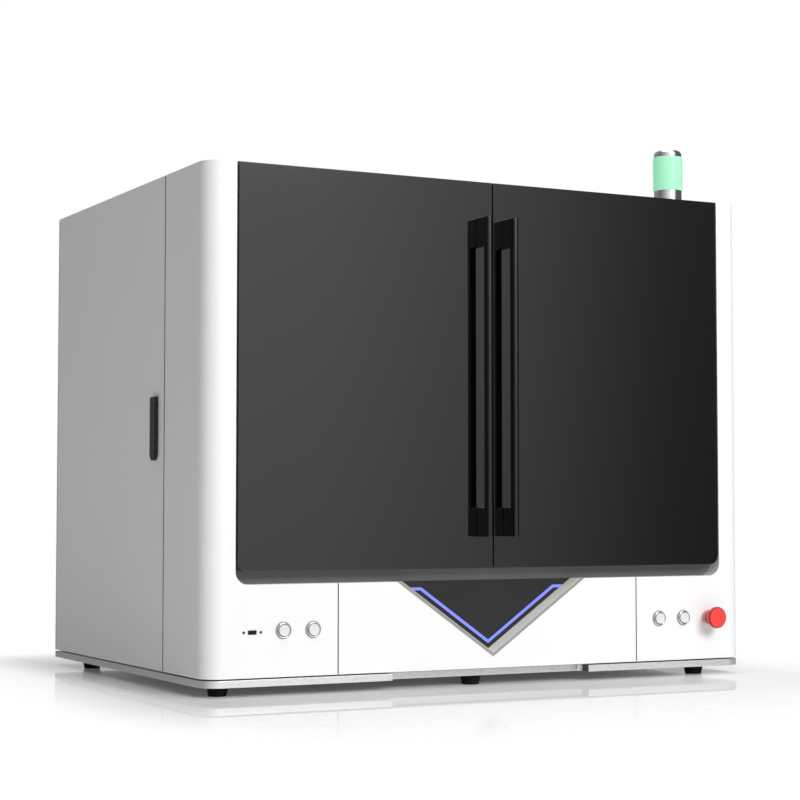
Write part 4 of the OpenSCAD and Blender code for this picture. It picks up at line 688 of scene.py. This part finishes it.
def world():
    """White studio. In gloss its walls fall off to grey at both sides, which shapes polished parts."""
    made = bpy.data.worlds.new("studio")
    bpy.context.scene.world = made
    made.use_nodes = True
    tree = made.node_tree
    background = tree.nodes["Background"]
    direction = tree.nodes.new("ShaderNodeSeparateXYZ")
    tree.links.new(tree.nodes.new("ShaderNodeTexCoord").outputs["Generated"], direction.inputs[0])
    path = tree.nodes.new("ShaderNodeLightPath")
    mirrored = maths(tree, "MAXIMUM", path.outputs["Is Glossy Ray"], path.outputs["Is Transmission Ray"])
    tint = tree.nodes.new("ShaderNodeMix")
    tint.data_type = "RGBA"
    tint.inputs["A"].default_value = (1, 1, 1, 1)
    tree.links.new(mirrored, tint.inputs["Factor"])
    tree.links.new(wall_brightness(tree, direction), tint.inputs["B"])
    tree.links.new(tint.outputs["Result"], background.inputs["Color"])
    rise = maths(tree, "SUBTRACT", ramped(tree, direction.outputs["Z"], *WALL_RISE), 1.0)
    level = ramped(tree, seen_rays(tree), (0, AMBIENT), (1, 1.0))
    level = maths(tree, "MULTIPLY", level, maths(tree, "MULTIPLY_ADD", rise, mirrored, 1.0))
    tree.links.new(level, background.inputs["Strength"])


def distance_from_machine(tree, place, side_fade):
    """Distance of a place on the floor from the machine's footprint, stretched beside it and behind it."""
    aside = maths(tree, "SUBTRACT", maths(tree, "ABSOLUTE", place.outputs["X"]), FOOTPRINT[0])
    ahead = maths(tree, "SUBTRACT", maths(tree, "MULTIPLY", place.outputs["Y"], -1.0), FOOTPRINT[1])
    behind = maths(tree, "MULTIPLY_ADD", place.outputs["Y"], REAR_FADE, -REAR_FADE * FOOTPRINT[1])
    outward = maths(tree, "MAXIMUM", maths(tree, "MAXIMUM", ahead, behind), 0.0)
    across = maths(tree, "MULTIPLY", maths(tree, "MAXIMUM", aside, 0.0), side_fade)
    squares = maths(tree, "MULTIPLY_ADD", across, across, maths(tree, "MULTIPLY", outward, outward))
    return maths(tree, "SQRT", squares)


def mixed(tree, share, first, second):
    """Mixes two shaders. The share is the second one's."""
    node = tree.nodes.new("ShaderNodeMixShader")
    for source, socket in zip((share, first, second), node.inputs):
        tree.links.new(source, socket)
    return node.outputs[0]


def floor_material():
    """Matt white under a gloss that is strong near the machine. Away from it, and less so close by, the floor
    opens on the white backdrop."""
    material = bpy.data.materials.new("studio_floor")
    material.use_nodes = True
    tree = material.node_tree
    tree.nodes.clear()
    output = tree.nodes.new("ShaderNodeOutputMaterial")
    place = tree.nodes.new("ShaderNodeSeparateXYZ")
    tree.links.new(tree.nodes.new("ShaderNodeTexCoord").outputs["Object"], place.inputs[0])
    matt = tree.nodes.new("ShaderNodeBsdfDiffuse")
    matt.inputs["Color"].default_value = FLOOR_WHITE
    gloss = tree.nodes.new("ShaderNodeBsdfGlossy")
    gloss.inputs["Roughness"].default_value = FLOOR_ROUGHNESS
    backdrop = tree.nodes.new("ShaderNodeBsdfTransparent")
    opened = ramped(tree, distance_from_machine(tree, place, FLOOR_SIDE_FADE), *FLOOR_FADE, smooth=True)
    mirror = ramped(tree, distance_from_machine(tree, place, MIRROR_SIDE_FADE), *MIRROR_FADE, smooth=True)
    opened = maths(tree, "MULTIPLY", opened, seen_rays(tree))
    ground = mixed(tree, opened, matt.outputs[0], backdrop.outputs[0])
    tree.links.new(mixed(tree, mirror, ground, gloss.outputs[0]), output.inputs["Surface"])
    return material


def floor():
    """Pale studio floor."""
    work = bmesh.new()
    bmesh.ops.create_grid(work, x_segments=1, y_segments=1, size=20.0)
    made = bpy.data.objects.new("floor", to_mesh(work, "floor"))
    bpy.context.scene.collection.objects.link(made)
    made.data.materials.append(floor_material())


# ---------------------------------------------------------------- build

dress_nodes()
for width, names in EDGES.items():
    round_edges(names, width * MM)
camera()
world()
floor()
soft_box("key", location=(0.9, -5.55, 3.2), target=(0, 0, 0.5), size=(3.0, 2.4), power=264)
soft_box("top", location=(0.2, -0.6, 4.6), target=(0, 0, 0.4), size=(3.6, 3.6), power=105)

rear_panel_screws()
top_cover_screws()
flange_screws()
fan_screws()
rail_plugs()
chamber_screws()
socket_screws()
button_rings()
estop_rim()
seam_seals_and_shade_strips()

bpy.context.scene.view_settings.view_transform = "Standard"
